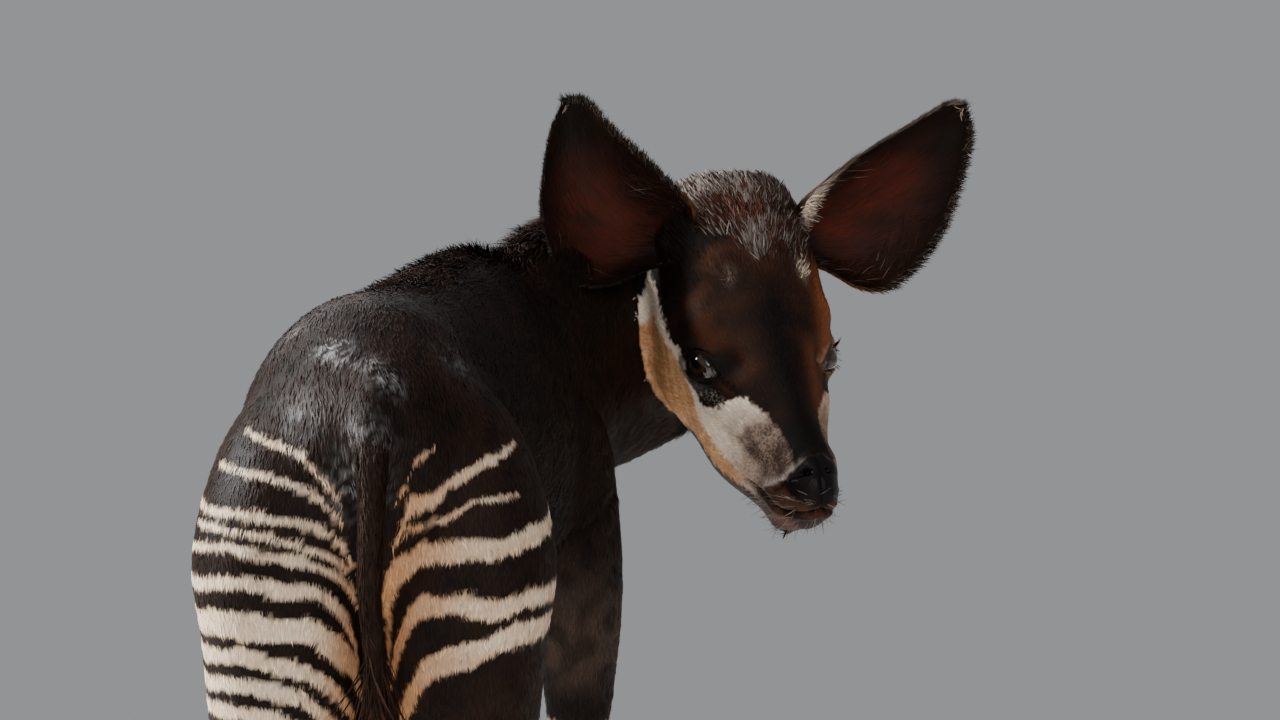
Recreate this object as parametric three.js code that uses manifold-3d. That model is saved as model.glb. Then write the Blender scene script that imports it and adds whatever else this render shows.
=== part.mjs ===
// A life-size okapi calf, about one month old, standing and looking back over its right flank.
// Millimetres, +Z up, hindquarters heading along +Y, the animal's right side towards +X.
// The model is worked out about a working origin under the pelvis, and the finished group is
// moved so that the middle of its footprint box lies at the origin, with the soles at z = 0.
import * as THREE from "three";
import { mergeVertices } from "three/addons/utils/BufferGeometryUtils.js";
import Module from "manifold-3d";

const wasm = await Module();
wasm.setup();

// Driving dimensions
const GAP = 0.3; // clear space kept between neighbouring pieces
const CORONET = 44; // height of the top edge of every hoof
const SHOULDER_YAW = 18; // degrees that the forelegs turn to the right with the bent chest
const RIGHT_FORELEG = [162, 182];
const LEFT_FORELEG = [30, 232];
const EYES_MIDDLE = [318.5, 285, 774]; // half way between the eyes
const HEAD_PITCH = 43; // degrees that the face slopes below the horizontal
const HEAD_YAW = 26; // degrees that the face turns from straight back towards the right
const HEAD_ROLL = 4; // degrees that its right side hangs lower
const LIP = 6; // depth of the groove between the lips
const EYE = { along: 128, side: 49, rise: 12, radius: 17, opening: { half: 15.5, lift: 11.5 } };
const EAR = { thick: 3.2, root: { along: 31, side: 45, rise: 55 } };

const rad = THREE.MathUtils.degToRad;
const vec = (x, y, z) => new THREE.Vector3(x, y, z);
const UP = vec(0, 0, 1);
const FORWARD = vec(0, 1, 0);

// Catmull-Rom through equally spaced values, at a place counted in spans.
function spline(values, place) {
  const last = values.length - 1;
  const i = Math.min(Math.floor(place), last - 1);
  const t = place - i;
  const [b, c] = [values[i], values[i + 1]];
  const a = i > 0 ? values[i - 1] : 2 * b - c;
  const d = i + 2 <= last ? values[i + 2] : 2 * c - b;
  const slope = t * (c - a);
  const bend = t * t * (2 * a - 5 * b + 4 * c - d);
  const twist = t * t * t * (3 * b - a - 3 * c + d);
  return b + 0.5 * (slope + bend + twist);
}

// A closed solid from rows of points, all of one length. Each row is a ring, and the two ends
// are closed by fans round the middles of the first and last rings.
function ringSolid(rings) {
  const around = rings[0].length;
  const points = rings.flat();
  const faces = [];
  for (let r = 0; r + 1 < rings.length; r += 1) {
    for (let k = 0; k < around; k += 1) {
      const [a, b] = [r * around + k, r * around + ((k + 1) % around)];
      faces.push(a, b, b + around, a, b + around, a + around);
    }
  }
  for (const [r, flip] of [[0, true], [rings.length - 1, false]]) {
    const middle = rings[r].reduce((sum, p) => sum.add(p), vec(0, 0, 0)).divideScalar(around);
    const centre = points.push(middle) - 1;
    for (let k = 0; k < around; k += 1) {
      const [a, b] = [r * around + k, r * around + ((k + 1) % around)];
      faces.push(...(flip ? [b, a, centre] : [a, b, centre]));
    }
  }
  return solidOf(points, faces);
}

// A solid from points and triangles, turned the right way out if its volume comes out negative.
function solidOf(points, faces) {
  const signed = (i) => points[faces[i]].dot(
    points[faces[i + 1]].clone().cross(points[faces[i + 2]]));
  let volume = 0;
  for (let i = 0; i < faces.length; i += 3) volume += signed(i);
  const triVerts = new Uint32Array(faces);
  if (volume < 0) {
    for (let i = 0; i < faces.length; i += 3) {
      [triVerts[i + 1], triVerts[i + 2]] = [triVerts[i + 2], triVerts[i + 1]];
    }
  }
  const vertProperties = new Float32Array(points.flatMap((p) => [p.x, p.y, p.z]));
  return new wasm.Manifold(new wasm.Mesh({ numProp: 3, vertProperties, triVerts }));
}

// A solid from one of three.js's own closed geometries, placed by a matrix.
function solidFrom(geometry, matrix) {
  geometry.deleteAttribute("normal");
  geometry.deleteAttribute("uv");
  const merged = mergeVertices(geometry.applyMatrix4(matrix), 1e-3);
  const at = merged.attributes.position;
  const points = Array.from({ length: at.count }, (_, i) => vec().fromBufferAttribute(at, i));
  return solidOf(points, Array.from(merged.index.array));
}

// A body part carried along a path. A station holds its middle, the half-widths to its right and
// left, and the half-depths up and down, where up is the reference direction squared to the path.
// Each quarter of a section is a superellipse: power 2 is round, less is pointed, more is square.
// Such a path's middle, directions and sizes at a place counted in spans.
function carried(stations, reference) {
  const channel = (pick) => stations.map(pick);
  const keys = ["right", "left", "up", "down", "over", "under"];
  const table = Object.fromEntries(keys.map((key) => [key, channel((s) => s[key])]));
  const middles = [0, 1, 2].map((axis) => channel((s) => s.at[axis]));
  const place = (t) => vec(...middles.map((values) => spline(values, t)));
  const spans = stations.length - 1;
  return (t) => {
    const along = place(Math.min(t + 0.02, spans)).sub(place(Math.max(t - 0.02, 0))).normalize();
    const top = reference.clone().addScaledVector(along, -reference.dot(along)).normalize();
    const size = Object.fromEntries(keys.map((key) => [key, spline(table[key], t)]));
    return { middle: place(t), along, top, side: along.clone().cross(top), size };
  };
}

function loft({ stations, reference, around, steps }) {
  const section = carried(stations, reference);
  const rings = [];
  for (let i = 0; i <= (stations.length - 1) * steps; i += 1) {
    const { middle, top, side, size } = section(i / steps);
    rings.push(Array.from({ length: around }, (_, k) => {
      const angle = (2 * Math.PI * k) / around;
      const [c, s] = [Math.cos(angle), Math.sin(angle)];
      const root = 2 / (s > 0 ? size.over : size.under);
      const x = Math.sign(c) * Math.abs(c) ** root * (c > 0 ? size.right : size.left);
      const y = Math.sign(s) * Math.abs(s) ** root * (s > 0 ? size.up : size.down);
      return middle.clone().addScaledVector(side, x).addScaledVector(top, y);
    }));
  }
  return ringSolid(rings);
}

// The same run of random numbers for every build.
function randomFrom(seed) {
  let state = seed;
  return () => {
    state = (Math.imul(state, 1664525) + 1013904223) >>> 0;
    return state / 2 ** 32;
  };
}

// Shape of a lock from root to tip: share of its length, its width and its rise off the skin.
const LOCK = [[-0.12, 0.8, -1], [0.15, 1, 0.25], [0.6, 0.8, 0.8], [1, 0.12, 1]];

// Flat, tapering locks that lie along a body part carried along a path. They are rooted within a
// spread of angles about its upper side, run forwards or backwards and drift a little sideways.
function locks({ stations, reference }, form) {
  const { count, from, to, spread, lie, length, width, thick, rise, drift, seed } = form;
  const section = carried(stations, reference);
  const last = stations.length - 1;
  const random = randomFrom(seed);
  const within = ([low, high]) => low + (high - low) * random();
  return Array.from({ length: count }, (_, i) => {
    const start = from + ((to - from) * (i + 0.5)) / count;
    const angle = spread * (((i * 0.618) % 1) - 0.5);
    const span = section(Math.ceil(start)).middle.distanceTo(section(Math.floor(start)).middle);
    const [long, broad, high] = [within(length), within(width), within(rise)];
    const turn = within([-drift, drift]);
    return ringSolid(LOCK.map(([share, breadth, lift]) => {
      const place = start + (lie * share * long) / span;
      const inside = THREE.MathUtils.clamp(place, 0, last);
      const { middle, along, top, side, size } = section(inside);
      const bearing = angle + turn * Math.max(share, 0);
      const [c, s] = [Math.cos(bearing), Math.sin(bearing)];
      const out = vec(0, 0, 0).addScaledVector(top, c).addScaledVector(side, s);
      const wide = out.clone().cross(along);
      const at = middle.addScaledVector(top, c * size.up).addScaledVector(side, s * size.right)
        .addScaledVector(out, lift * (lift > 0 ? high : thick))
        .addScaledVector(along, (place - inside) * span);
      const [half, deep] = [(broad * breadth) / 2, (thick * (0.3 + 0.7 * breadth)) / 2];
      return [[wide, half], [out, deep], [wide, -half], [out, -deep]].map(([direction, by]) =>
        at.clone().addScaledVector(direction, by));
    }));
  });
}

// What lies on each side of a flat cut, held back from it by half the gap.
const beyond = (solid, cut) =>
  solid.trimByPlane(cut.normal.toArray(), cut.normal.dot(cut.at) + GAP / 2);
const before = (solid, cut) =>
  solid.trimByPlane(cut.normal.clone().negate().toArray(), GAP / 2 - cut.normal.dot(cut.at));
const cutAt = (at, normal) => ({ at: vec(...at), normal: vec(...normal).normalize() });
const together = (...solids) => solids.reduce((sum, s) => sum.add(s));

// A solid keeps only its largest closed surface, so no loose scrap or sealed hollow is left.
function largest(solid) {
  return solid.decompose().reduce((a, b) => (b.volume() > a.volume() ? b : a));
}

// A block that fills the space beyond every one of the cuts, used to clear a neighbour.
function blockBeyond(cuts) {
  const block = solidFrom(new THREE.BoxGeometry(3000, 3000, 3000), new THREE.Matrix4());
  return cuts.reduce((solid, cut) =>
    solid.trimByPlane(cut.normal.toArray(), cut.normal.dot(cut.at) - GAP / 2), block);
}

// Torso: place along the body, sideways bend, then top, widest level, bottom and half-width.
const TORSO = [
  [-276, 0, 735, 700, 650, 34],
  [-262, 0, 770, 702, 618, 62],
  [-225, 0, 802, 706, 578, 92],
  [-170, -2, 832, 710, 556, 105],
  [-115, -2, 845, 714, 552, 106],
  [-50, 1, 844, 705, 554, 106],
  [20, 14, 847, 696, 546, 108],
  [90, 38, 857, 690, 540, 108],
  [150, 62, 866, 690, 541, 103],
  [205, 84, 864, 690, 560, 94],
  [252, 104, 832, 684, 588, 78],
  [288, 120, 766, 676, 616, 52],
  [304, 128, 712, 672, 640, 22],
];

const torsoPath = {
  stations: TORSO.map(([y, x, top, level, bottom, half]) => ({
    at: [x, y, level],
    right: half, left: half, up: top - level, down: level - bottom, over: 1.95, under: 2.15,
  })),
  reference: UP, around: 28, steps: 2,
};

// Neck: middle, half-width, half-depth towards the crest and towards the throat.
const NECK = [
  [[78, 165, 705], 78, 104, 104],
  [[106, 232, 742], 76, 112, 108],
  [[138, 300, 777], 68, 106, 120],
  [[174, 356, 806], 60, 93, 134],
  [[214, 390, 830], 54, 77, 132],
  [[252, 390, 846], 50, 66, 100],
  [[276, 362, 850], 40, 48, 62],
];

const neckPath = {
  stations: NECK.map(([at, half, up, down]) => ({
    at, right: half, left: half, up, down, over: 1.85, under: 1.8,
  })),
  reference: UP, around: 24, steps: 3,
};

// The raised fringe of a calf's back and neck, leaning backwards
const BACK_FRINGE = {
  count: 19, from: 1.9, to: 9.2, spread: 0.24, lie: -1, drift: 0.12, seed: 11,
  length: [58, 76], width: [17, 23], thick: 7, rise: [6, 11],
};
const NECK_FRINGE = {
  count: 10, from: 1, to: 4.4, spread: 0.3, lie: -1, drift: 0.15, seed: 12,
  length: [50, 66], width: [16, 21], thick: 7, rise: [7, 12],
};

// A leg: sideways place, forward place, height, half-widths outwards, inwards, forwards and
// backwards, and how square the back of the section is.
const HIND_LEG = [
  [34, -172, 786, 18, 20, 26, 22, 2.1],
  [46, -174, 758, 44, 44, 58, 54, 2.1],
  [61, -180, 706, 63, 60, 100, 88, 2.3],
  [69, -180, 640, 72, 68, 112, 102, 2.6],
  [72, -173, 582, 62, 71, 108, 96, 2.6],
  [74, -168, 520, 54, 73, 92, 86, 2.4],
  [74, -178, 462, 43, 52, 64, 68, 2.2],
  [72, -200, 412, 31, 31, 43, 51, 2.1],
  [70, -228, 371, 24.5, 23, 31, 39, 2.1],
  [68, -248, 335, 22.5, 22, 27, 33, 2.1],
  [67, -254, 300, 20.5, 20, 22, 25, 2.1],
  [67, -251, 255, 16, 16, 18, 18, 2.1],
  [67, -245, 180, 14, 14, 15, 16, 2.1],
  [67, -240, 115, 14.5, 14.5, 16, 17, 2.1],
  [67, -238, 86, 18.5, 18.5, 18.5, 21.5, 2.1],
  [67, -230, 62, 16, 16, 17, 18, 2.1],
  [67, -223, 42, 20, 20, 20, 21, 2.1],
  [67, -219, 26, 20, 20, 20, 20, 2.1],
];
const FORELEG = [
  [-38, -2, 800, 14, 16, 26, 30, 2.1],
  [-28, 5, 768, 28, 28, 50, 56, 2.1],
  [-15, 14, 710, 34, 40, 62, 76, 2.1],
  [-9, 17, 652, 34, 40, 58, 80, 2.1],
  [-2, 9, 602, 33, 39, 52, 72, 2.1],
  [3, -1, 556, 31, 34, 44, 56, 2.1],
  [4, -4, 500, 28, 27, 36, 41, 2.1],
  [2, -2, 430, 23, 22, 27, 29, 2.1],
  [0, 0, 370, 20, 19.5, 23, 23, 2.1],
  [0, 2, 337, 21, 20.5, 23, 22, 2.1],
  [0, 3, 311, 22, 21.5, 25, 21.5, 2.1],
  [0, 2, 282, 19, 18.5, 20, 19, 2.1],
  [0, 0, 240, 15, 15, 16, 16, 2.1],
  [0, 0, 150, 14, 14, 15, 15.5, 2.1],
  [0, 0, 112, 14.5, 14.5, 16, 17, 2.1],
  [0, 1, 86, 18.5, 18.5, 18.5, 21.5, 2.1],
  [0, 9, 62, 16, 16, 16.5, 17.5, 2.1],
  [0, 16, 42, 20, 20, 20, 21, 2.1],
  [0, 20, 26, 20, 20, 20, 20, 2.1],
];

// side is 1 for the right leg and -1 for the left one.
function legLoft(table, side) {
  const stations = table.map(([out, ahead, height, outer, inner, front, back, square]) => ({
    at: [side * out, ahead, height],
    right: side > 0 ? outer : inner, left: side > 0 ? inner : outer,
    up: front, down: back, over: 2.1, under: square,
  }));
  return loft({ stations, reference: FORWARD, around: 14, steps: 2 });
}

// Turns and moves a solid built about a foreleg's own upright line.
function atForeleg(solid, [x, y]) {
  return solid.rotate([0, 0, -SHOULDER_YAW]).translate([x, y, 0]);
}

// One claw of a cloven hoof: a D with its flat side inwards, longer and wider at the sole.
const CLAW = { wide: 18.5, cleft: 1.6, top: [19, 20], sole: [33, 25], lean: 7 };

function claw(side, ahead, outwards) {
  const rings = [];
  const levels = 3;
  for (let i = 0; i <= levels; i += 1) {
    const t = i / levels;
    const front = THREE.MathUtils.lerp(CLAW.top[0], CLAW.sole[0], t);
    const back = THREE.MathUtils.lerp(CLAW.top[1], CLAW.sole[1], t);
    const wide = CLAW.wide * (1 + 0.18 * t);
    rings.push(Array.from({ length: 13 }, (_, k) => {
      const angle = (Math.PI * k) / 12;
      const [c, s] = [Math.cos(angle), Math.sin(angle)];
      const y = (c > 0 ? front : back) * Math.sign(c) * Math.abs(c) ** 0.9 + CLAW.lean * t;
      const x = wide * s ** 0.75 * (1 - 0.25 * Math.max(c, 0) ** 2);
      return vec(side + outwards * (CLAW.cleft / 2 + x), ahead + y, (CORONET - GAP) * (1 - t));
    }));
  }
  return ringSolid(rings);
}

// Tail: middle, half-width and half-thickness, from inside the rump to the tip of the tuft.
const TAIL = [
  [[0, -232, 764], 18, 15],
  [[-1, -258, 757], 16, 14],
  [[-2, -281, 734], 13, 11],
  [[-2, -294, 692], 11, 9],
  [[-3, -300, 650], 11.5, 8.5],
  [[-3, -300, 612], 11.5, 8],
  [[1, -298, 566], 9.5, 7.5],
  [[5, -296, 524], 8.5, 7.5],
  [[7, -295, 484], 11, 9],
  [[7, -294, 450], 9, 7.5],
  [[7, -294, 428], 3, 2.5],
];

const tailPath = (grow) => ({
  stations: TAIL.map(([at, half, thick]) => ({
    at, right: half + grow, left: half + grow, up: thick + grow, down: thick + grow,
    over: 2, under: 2,
  })),
  reference: vec(0, -1, 0.25), around: 14, steps: 2,
});
const tailLoft = (grow) => loft(tailPath(grow));
const TAIL_TUFT = {
  count: 11, from: 5.8, to: 9, spread: 2 * Math.PI, lie: 1, drift: 0.5, seed: 13,
  length: [52, 76], width: [9, 13], thick: 4.5, rise: [1, 4],
};

// The head's own axes: along runs from the back of the skull to the nose, rise towards the
// forehead, and across towards the animal's right.
const along = vec(0, -1, 0).applyAxisAngle(vec(1, 0, 0), rad(HEAD_PITCH))
  .applyAxisAngle(UP, rad(HEAD_YAW));
const rise = UP.clone().addScaledVector(along, -along.z).normalize()
  .applyAxisAngle(along, rad(HEAD_ROLL));
const across = along.clone().cross(rise);
const headMatrix = new THREE.Matrix4().makeBasis(along, across, rise)
  .setPosition(vec(...EYES_MIDDLE).addScaledVector(along, -EYE.along)
    .addScaledVector(rise, -EYE.rise));
const headPoint = (s, u, v) => vec(s, u, v).applyMatrix4(headMatrix);

// Head: place along, level of the widest line, half-width, half-depths up and down, and how
// square the upper and lower halves are.
const HEAD = [
  [-34, 8, 42, 54, 30, 2.6, 2],
  [-15, 8, 62, 82, 50, 3.1, 2],
  [10, 8, 66, 93, 64, 2.9, 2],
  [42, 6, 70, 92, 76, 2.6, 1.95],
  [76, 3, 72, 82, 87, 2.2, 1.9],
  [104, 0, 69, 70, 92, 2.1, 1.9],
  [130, -4, 61, 59, 90, 2.1, 1.9],
  [158, -10, 51, 51, 80, 2.1, 1.9],
  [192, -15, 40, 44, 65, 2.1, 2],
  [224, -18, 29.5, 41, 52, 2.1, 2.1],
  [246, -19, 27.5, 38, 44, 2.2, 2.2],
  [260, -20, 25, 30, 41, 2.2, 2.2],
  [270, -24, 17, 18, 28, 2, 2],
  [274, -27, 8, 8, 12, 2, 2],
];

function headLoft(grow, around, steps) {
  const stations = HEAD.map(([s, level, half, up, down, over, under]) => ({
    at: headPoint(s, 0, level).toArray(),
    right: half + grow, left: half + grow, up: up + grow, down: down + grow, over, under,
  }));
  return loft({ stations, reference: UP, around, steps });
}

// A squashed ball on the head's own axes, its first radius along one direction and its last
// along another that is squared to the first.
function headBall(place, radii, first, last) {
  const x = vec(...first).normalize();
  const z = vec(...last).addScaledVector(x, -vec(...last).dot(x)).normalize();
  const matrix = headMatrix.clone()
    .multiply(new THREE.Matrix4().makeBasis(x, z.clone().cross(x), z).setPosition(...place))
    .multiply(new THREE.Matrix4().makeScale(...radii));
  return solidFrom(new THREE.SphereGeometry(1, 14, 8), matrix);
}

// The horn buds under the hair of the forehead, and the slanting slits of the nostrils.
const hornBud = (side) => headBall([84, side * 36, 66], [25, 18, 11], [1, 0, 0], [0, side * 0.4, 1]);
const nostril = (side) =>
  headBall([249, side * 20, 1], [20, 4, 10], [-7, side * 19, -34], [0.8, side * 0.55, 0.2]);

// The eye looks outwards, forwards and a little up. Its lids are what is left of the orbit's
// mound after the ball's own space and an almond-shaped opening are cut from it.
function eyePlace(side) {
  const look = vec(0.5, side * 0.78, 0.35).normalize();
  const upright = look.clone().cross(vec(0.8, side * -0.6, 0.1)).normalize();
  const corner = upright.clone().cross(look);
  return headMatrix.clone().multiply(new THREE.Matrix4().makeBasis(corner, upright, look)
    .setPosition(EYE.along, side * EYE.side, EYE.rise));
}

function eyeBall(side, radius) {
  return solidFrom(new THREE.SphereGeometry(radius, 16, 10), eyePlace(side));
}

function eyeOpening(side) {
  const { half, lift } = EYE.opening;
  const almond = new THREE.Shape();
  almond.moveTo(-half, 0);
  almond.quadraticCurveTo(0, 2 * lift, half, 0);
  almond.quadraticCurveTo(0, -2 * lift, -half, 0);
  const geometry = new THREE.ExtrudeGeometry(almond, {
    depth: 30, bevelEnabled: false, curveSegments: 8,
  });
  return solidFrom(geometry, eyePlace(side));
}

function orbit(side) {
  return solidFrom(new THREE.SphereGeometry(1, 14, 9), eyePlace(side)
    .multiply(new THREE.Matrix4().makeTranslation(0, 0, -3))
    .multiply(new THREE.Matrix4().makeScale(28, 24, 22)));
}

// Closed mouth: a thin bent groove round the lips, from one corner to the other.
function mouthGroove() {
  const line = new THREE.Shape();
  line.moveTo(290, -14.5);
  line.quadraticCurveTo(256, -16, 206, -39);
  line.lineTo(205.2, -41);
  line.quadraticCurveTo(256, -19, 290, -17.5);
  const geometry = new THREE.ExtrudeGeometry(line, {
    depth: 100, bevelEnabled: false, curveSegments: 8,
  });
  const upright = new THREE.Matrix4().makeBasis(vec(1, 0, 0), vec(0, 0, 1), vec(0, -1, 0));
  return solidFrom(geometry, headMatrix.clone()
    .multiply(new THREE.Matrix4().makeTranslation(0, 50, 0)).multiply(upright))
    .subtract(headLoft(-LIP, 16, 1));
}

// Ears: where each tip is, and which way the cup opens.
const EARS = {
  right: { side: 1, tip: [158, 276, 986], opens: [0.36, -1, -0.1], bow: 1.1 },
  left: { side: -1, tip: [495, 352, 979], opens: [0.7, -1, -0.1], bow: 0.68 },
};
// The sheet of an ear from root to tip: share of the length, width laid flat, degrees that it
// curls round the cup, and how far its middle bows outwards.
const EAR_SHEET = [
  [0, 77, 250, 4],
  [0.07, 98, 215, 13],
  [0.15, 133, 168, 25],
  [0.26, 144, 135, 34],
  [0.4, 137, 115, 36],
  [0.55, 121, 105, 33],
  [0.7, 95, 97, 26],
  [0.83, 65, 90, 15],
  [0.925, 40, 84, 6],
  [0.97, 14, 80, 1],
];
const EAR_BASE = 12; // from the root to the flat where the ear meets the head
const EAR_BACK = 14; // from the ear's axis back to the floor of its cup

function earAxes({ side, tip, opens, bow }) {
  const { along: s, side: u, rise: v } = EAR.root;
  const root = headPoint(s, side * u, v);
  const axis = vec(...tip).sub(root);
  const length = axis.length();
  axis.normalize();
  const open = vec(...opens).addScaledVector(axis, -vec(...opens).dot(axis)).normalize();
  const outwards = open.clone().cross(axis).multiplyScalar(side);
  return { root, axis, open, outwards, length, bow };
}

// A leaf rolled into a funnel at its root: two like grids, front and back, joined at the rim.
// It can be grown on every side, to clear its neighbours.
function earSheet(ear, grow) {
  const { root, axis, open, outwards, length, bow } = earAxes(ear);
  const [rows, columns] = [15, 10];
  const spans = EAR_SHEET.length - 1;
  const channels = [0, 1, 2, 3].map((k) => EAR_SHEET.map((row) => row[k]));
  const point = (i, j, depth) => {
    const [s, wide, degrees, bulge] = channels.map((values) => spline(values, (i / rows) * spans));
    const wrap = rad(degrees);
    const t = ((2 * j) / columns - 1) * (1 + (2 * grow) / wide);
    const angle = (t * wrap) / 2;
    const radius = wide / wrap;
    const thin = (1 - 0.35 * Math.abs(t) ** 3) * (1 - 0.35 * s);
    const reach = radius + depth * (EAR.thick * thin + 2 * grow) - grow;
    return root.clone().addScaledVector(axis, length * s + ((2 * i) / rows - 1) * grow)
      .addScaledVector(outwards, bow * bulge + reach * Math.sin(angle))
      .addScaledVector(open, radius - reach * Math.cos(angle) - EAR_BACK);
  };
  const grid = (depth) => Array.from({ length: rows + 1 }, (_, i) =>
    Array.from({ length: columns + 1 }, (__, j) => point(i, j, depth)));
  return sheetSolid(grid(0), grid(1));
}

// A closed solid between two grids of like size, split into triangles alike on both faces.
function sheetSolid(front, back) {
  const [rows, columns] = [front.length, front[0].length];
  const points = [...front.flat(), ...back.flat()];
  const at = (i, j, layer) => layer * rows * columns + i * columns + j;
  const faces = [];
  for (let i = 0; i + 1 < rows; i += 1) {
    for (let j = 0; j + 1 < columns; j += 1) {
      const corners = (layer) =>
        [at(i, j, layer), at(i, j + 1, layer), at(i + 1, j + 1, layer), at(i + 1, j, layer)];
      const [a, b, c, d] = corners(0);
      const [e, f, g, h] = corners(1);
      if (j * 2 < columns - 1) faces.push(a, b, d, b, c, d, e, h, f, f, h, g);
      else faces.push(a, b, c, a, c, d, e, g, f, e, h, g);
    }
  }
  const rim = [];
  for (let j = 0; j + 1 < columns; j += 1) rim.push([0, j]);
  for (let i = 0; i + 1 < rows; i += 1) rim.push([i, columns - 1]);
  for (let j = columns - 1; j > 0; j -= 1) rim.push([rows - 1, j]);
  for (let i = rows - 1; i > 0; i -= 1) rim.push([i, 0]);
  rim.forEach(([i, j], k) => {
    const [m, n] = rim[(k + 1) % rim.length];
    faces.push(at(m, n, 0), at(i, j, 0), at(i, j, 1), at(m, n, 0), at(i, j, 1), at(m, n, 1));
  });
  return solidOf(points, faces);
}

// Distance along an ear's axis and radius, for its gristly stem from inside the skull to the
// floor of the funnel, and for the hollow that the crown leaves free inside its cup.
const EAR_STEM = [[-40, 38], [-18, 34], [0, 26], [12, 20], [19, 15], [24, 8]];
const EAR_HOLLOW = [[0, 27], [20, 27], [42, 28], [70, 40], [110, 60]];

function earCone(ear, rows) {
  const { root, axis, open } = earAxes(ear);
  const stations = rows.map(([reach, radius]) => ({
    at: root.clone().addScaledVector(axis, reach).toArray(),
    right: radius, left: radius, up: radius, down: radius, over: 2, under: 2,
  }));
  return loft({ stations, reference: open, around: 16, steps: 1 });
}

const earCut = (ear) => {
  const { root, axis } = earAxes(ear);
  return { at: root.clone().addScaledVector(axis, EAR_BASE), normal: axis };
};

// Cuts between the body's parts
const NECK_BASE = cutAt([126, 262, 768], [0.55, 0.72, 0.42]);
const NECK_TOP = cutAt([238, 398, 838], [0.95, -0.26, 0.1]);
const TAIL_ROOT = cutAt([-1.5, -272, 748], [0, -0.62, -0.78]);
const THIGH_TOP = cutAt([0, -280, 728], [0, 0.24, -1]);
const FLANK = cutAt([0, -66, 680], [0, -1, -0.12]);
const HOCK = cutAt([0, -214, 392], [0, -0.3, -1]);
const KNEE = cutAt([0, 0, 340], [0, 0, -1]);
const COFFIN = cutAt([0, 0, CORONET], [0, 0, -1]);
const CHEST_FLOOR = cutAt([0, 0, 622], [0, 0, -1]);
const middlePlane = (side) => cutAt([0, 0, 0], [side, 0, 0]);
const elbowCuts = (side, [x, y]) => {
  const turned = (normal) => vec(...normal).applyAxisAngle(UP, rad(-SHOULDER_YAW));
  return [
    CHEST_FLOOR,
    { at: vec(x, y, 0).add(turned([-side * 36, 0, 0])), normal: turned([side, 0, 0]) },
    { at: vec(x, y, 0).add(turned([0, -72, 0])), normal: turned([0, 1, 0]) },
  ];
};

// Whole body before it is parted: torso, neck, legs and the stub of the tail.
const forelegs = {
  right: atForeleg(legLoft(FORELEG, 1), RIGHT_FORELEG),
  left: atForeleg(legLoft(FORELEG, -1), LEFT_FORELEG),
};
const hindLegs = { right: legLoft(HIND_LEG, 1), left: legLoft(HIND_LEG, -1) };
const tail = tailLoft(0);
const body = together(loft(torsoPath), loft(neckPath), forelegs.right, forelegs.left,
  hindLegs.right, hindLegs.left);
const fringe = [...locks(torsoPath, BACK_FRINGE), ...locks(neckPath, NECK_FRINGE)];

const thighCuts = (side) => [THIGH_TOP, FLANK, middlePlane(side)];
const legBlocks = [
  blockBeyond([THIGH_TOP, FLANK]),
  blockBeyond(elbowCuts(1, RIGHT_FORELEG)),
  blockBeyond(elbowCuts(-1, LEFT_FORELEG)),
];
const tailStub = before(tail, TAIL_ROOT);

const solids = {};
const tailGroove = tailLoft(GAP).intersect(blockBeyond([TAIL_ROOT]));
solids.torso = [...legBlocks, tailGroove].reduce((solid, space) => solid.subtract(space),
  before(together(body, tailStub, ...fringe), NECK_BASE));
solids.tail = beyond(together(tail, ...locks(tailPath(0), TAIL_TUFT)), TAIL_ROOT);

const head = together(headLoft(0, 26, 2), orbit(1), orbit(-1), hornBud(1), hornBud(-1),
  earCone(EARS.right, EAR_STEM), earCone(EARS.left, EAR_STEM));
const eyeSpace = [1, -1].flatMap((side) =>
  [eyeBall(side, EYE.radius + GAP), eyeOpening(side)]);
const nape = together(loft(torsoPath), loft(neckPath), forelegs.right, ...fringe);
const earSpaces = Object.values(EARS).map((ear) =>
  together(earSheet(ear, 1), earCone(ear, EAR_HOLLOW)).intersect(blockBeyond([earCut(ear)])));
solids.neck = before(beyond(nape, NECK_BASE), NECK_TOP).subtract(earSpaces[0]);
const cutHead = [...eyeSpace, nostril(1), nostril(-1), mouthGroove()]
  .reduce((solid, space) => solid.subtract(space),
    beyond(together(head, loft(neckPath)), NECK_TOP));
solids.head = earSpaces.reduce((solid, space) => solid.subtract(space), cutHead);

for (const [name, ear] of Object.entries(EARS)) {
  solids["ear_" + name] = beyond(earSheet(ear, 0).add(earCone(ear, EAR_STEM)), earCut(ear));
}
for (const [name, side] of [["right", 1], ["left", -1]]) {
  solids["eye_" + name] = eyeBall(side, EYE.radius);
  const thigh = thighCuts(side).reduce((solid, cut) => beyond(solid, cut), body);
  solids["hind_thigh_" + name] = before(thigh, HOCK).subtract(tailLoft(1));
  solids["hind_shank_" + name] = before(beyond(hindLegs[name], HOCK), COFFIN);
  const anchor = side > 0 ? RIGHT_FORELEG : LEFT_FORELEG;
  const upper = elbowCuts(side, anchor).reduce((solid, cut) => beyond(solid, cut),
    together(loft(torsoPath), forelegs[name]));
  solids["fore_upper_" + name] = before(upper, KNEE);
  solids["fore_lower_" + name] = before(beyond(forelegs[name], KNEE), COFFIN);
  for (const [which, outwards] of [["outer", side], ["inner", -side]]) {
    solids[`hind_hoof_${name}_${which}`] = claw(side * 67, -222, outwards);
    solids[`fore_hoof_${name}_${which}`] = atForeleg(claw(0, 17, outwards), anchor);
  }
}

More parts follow.
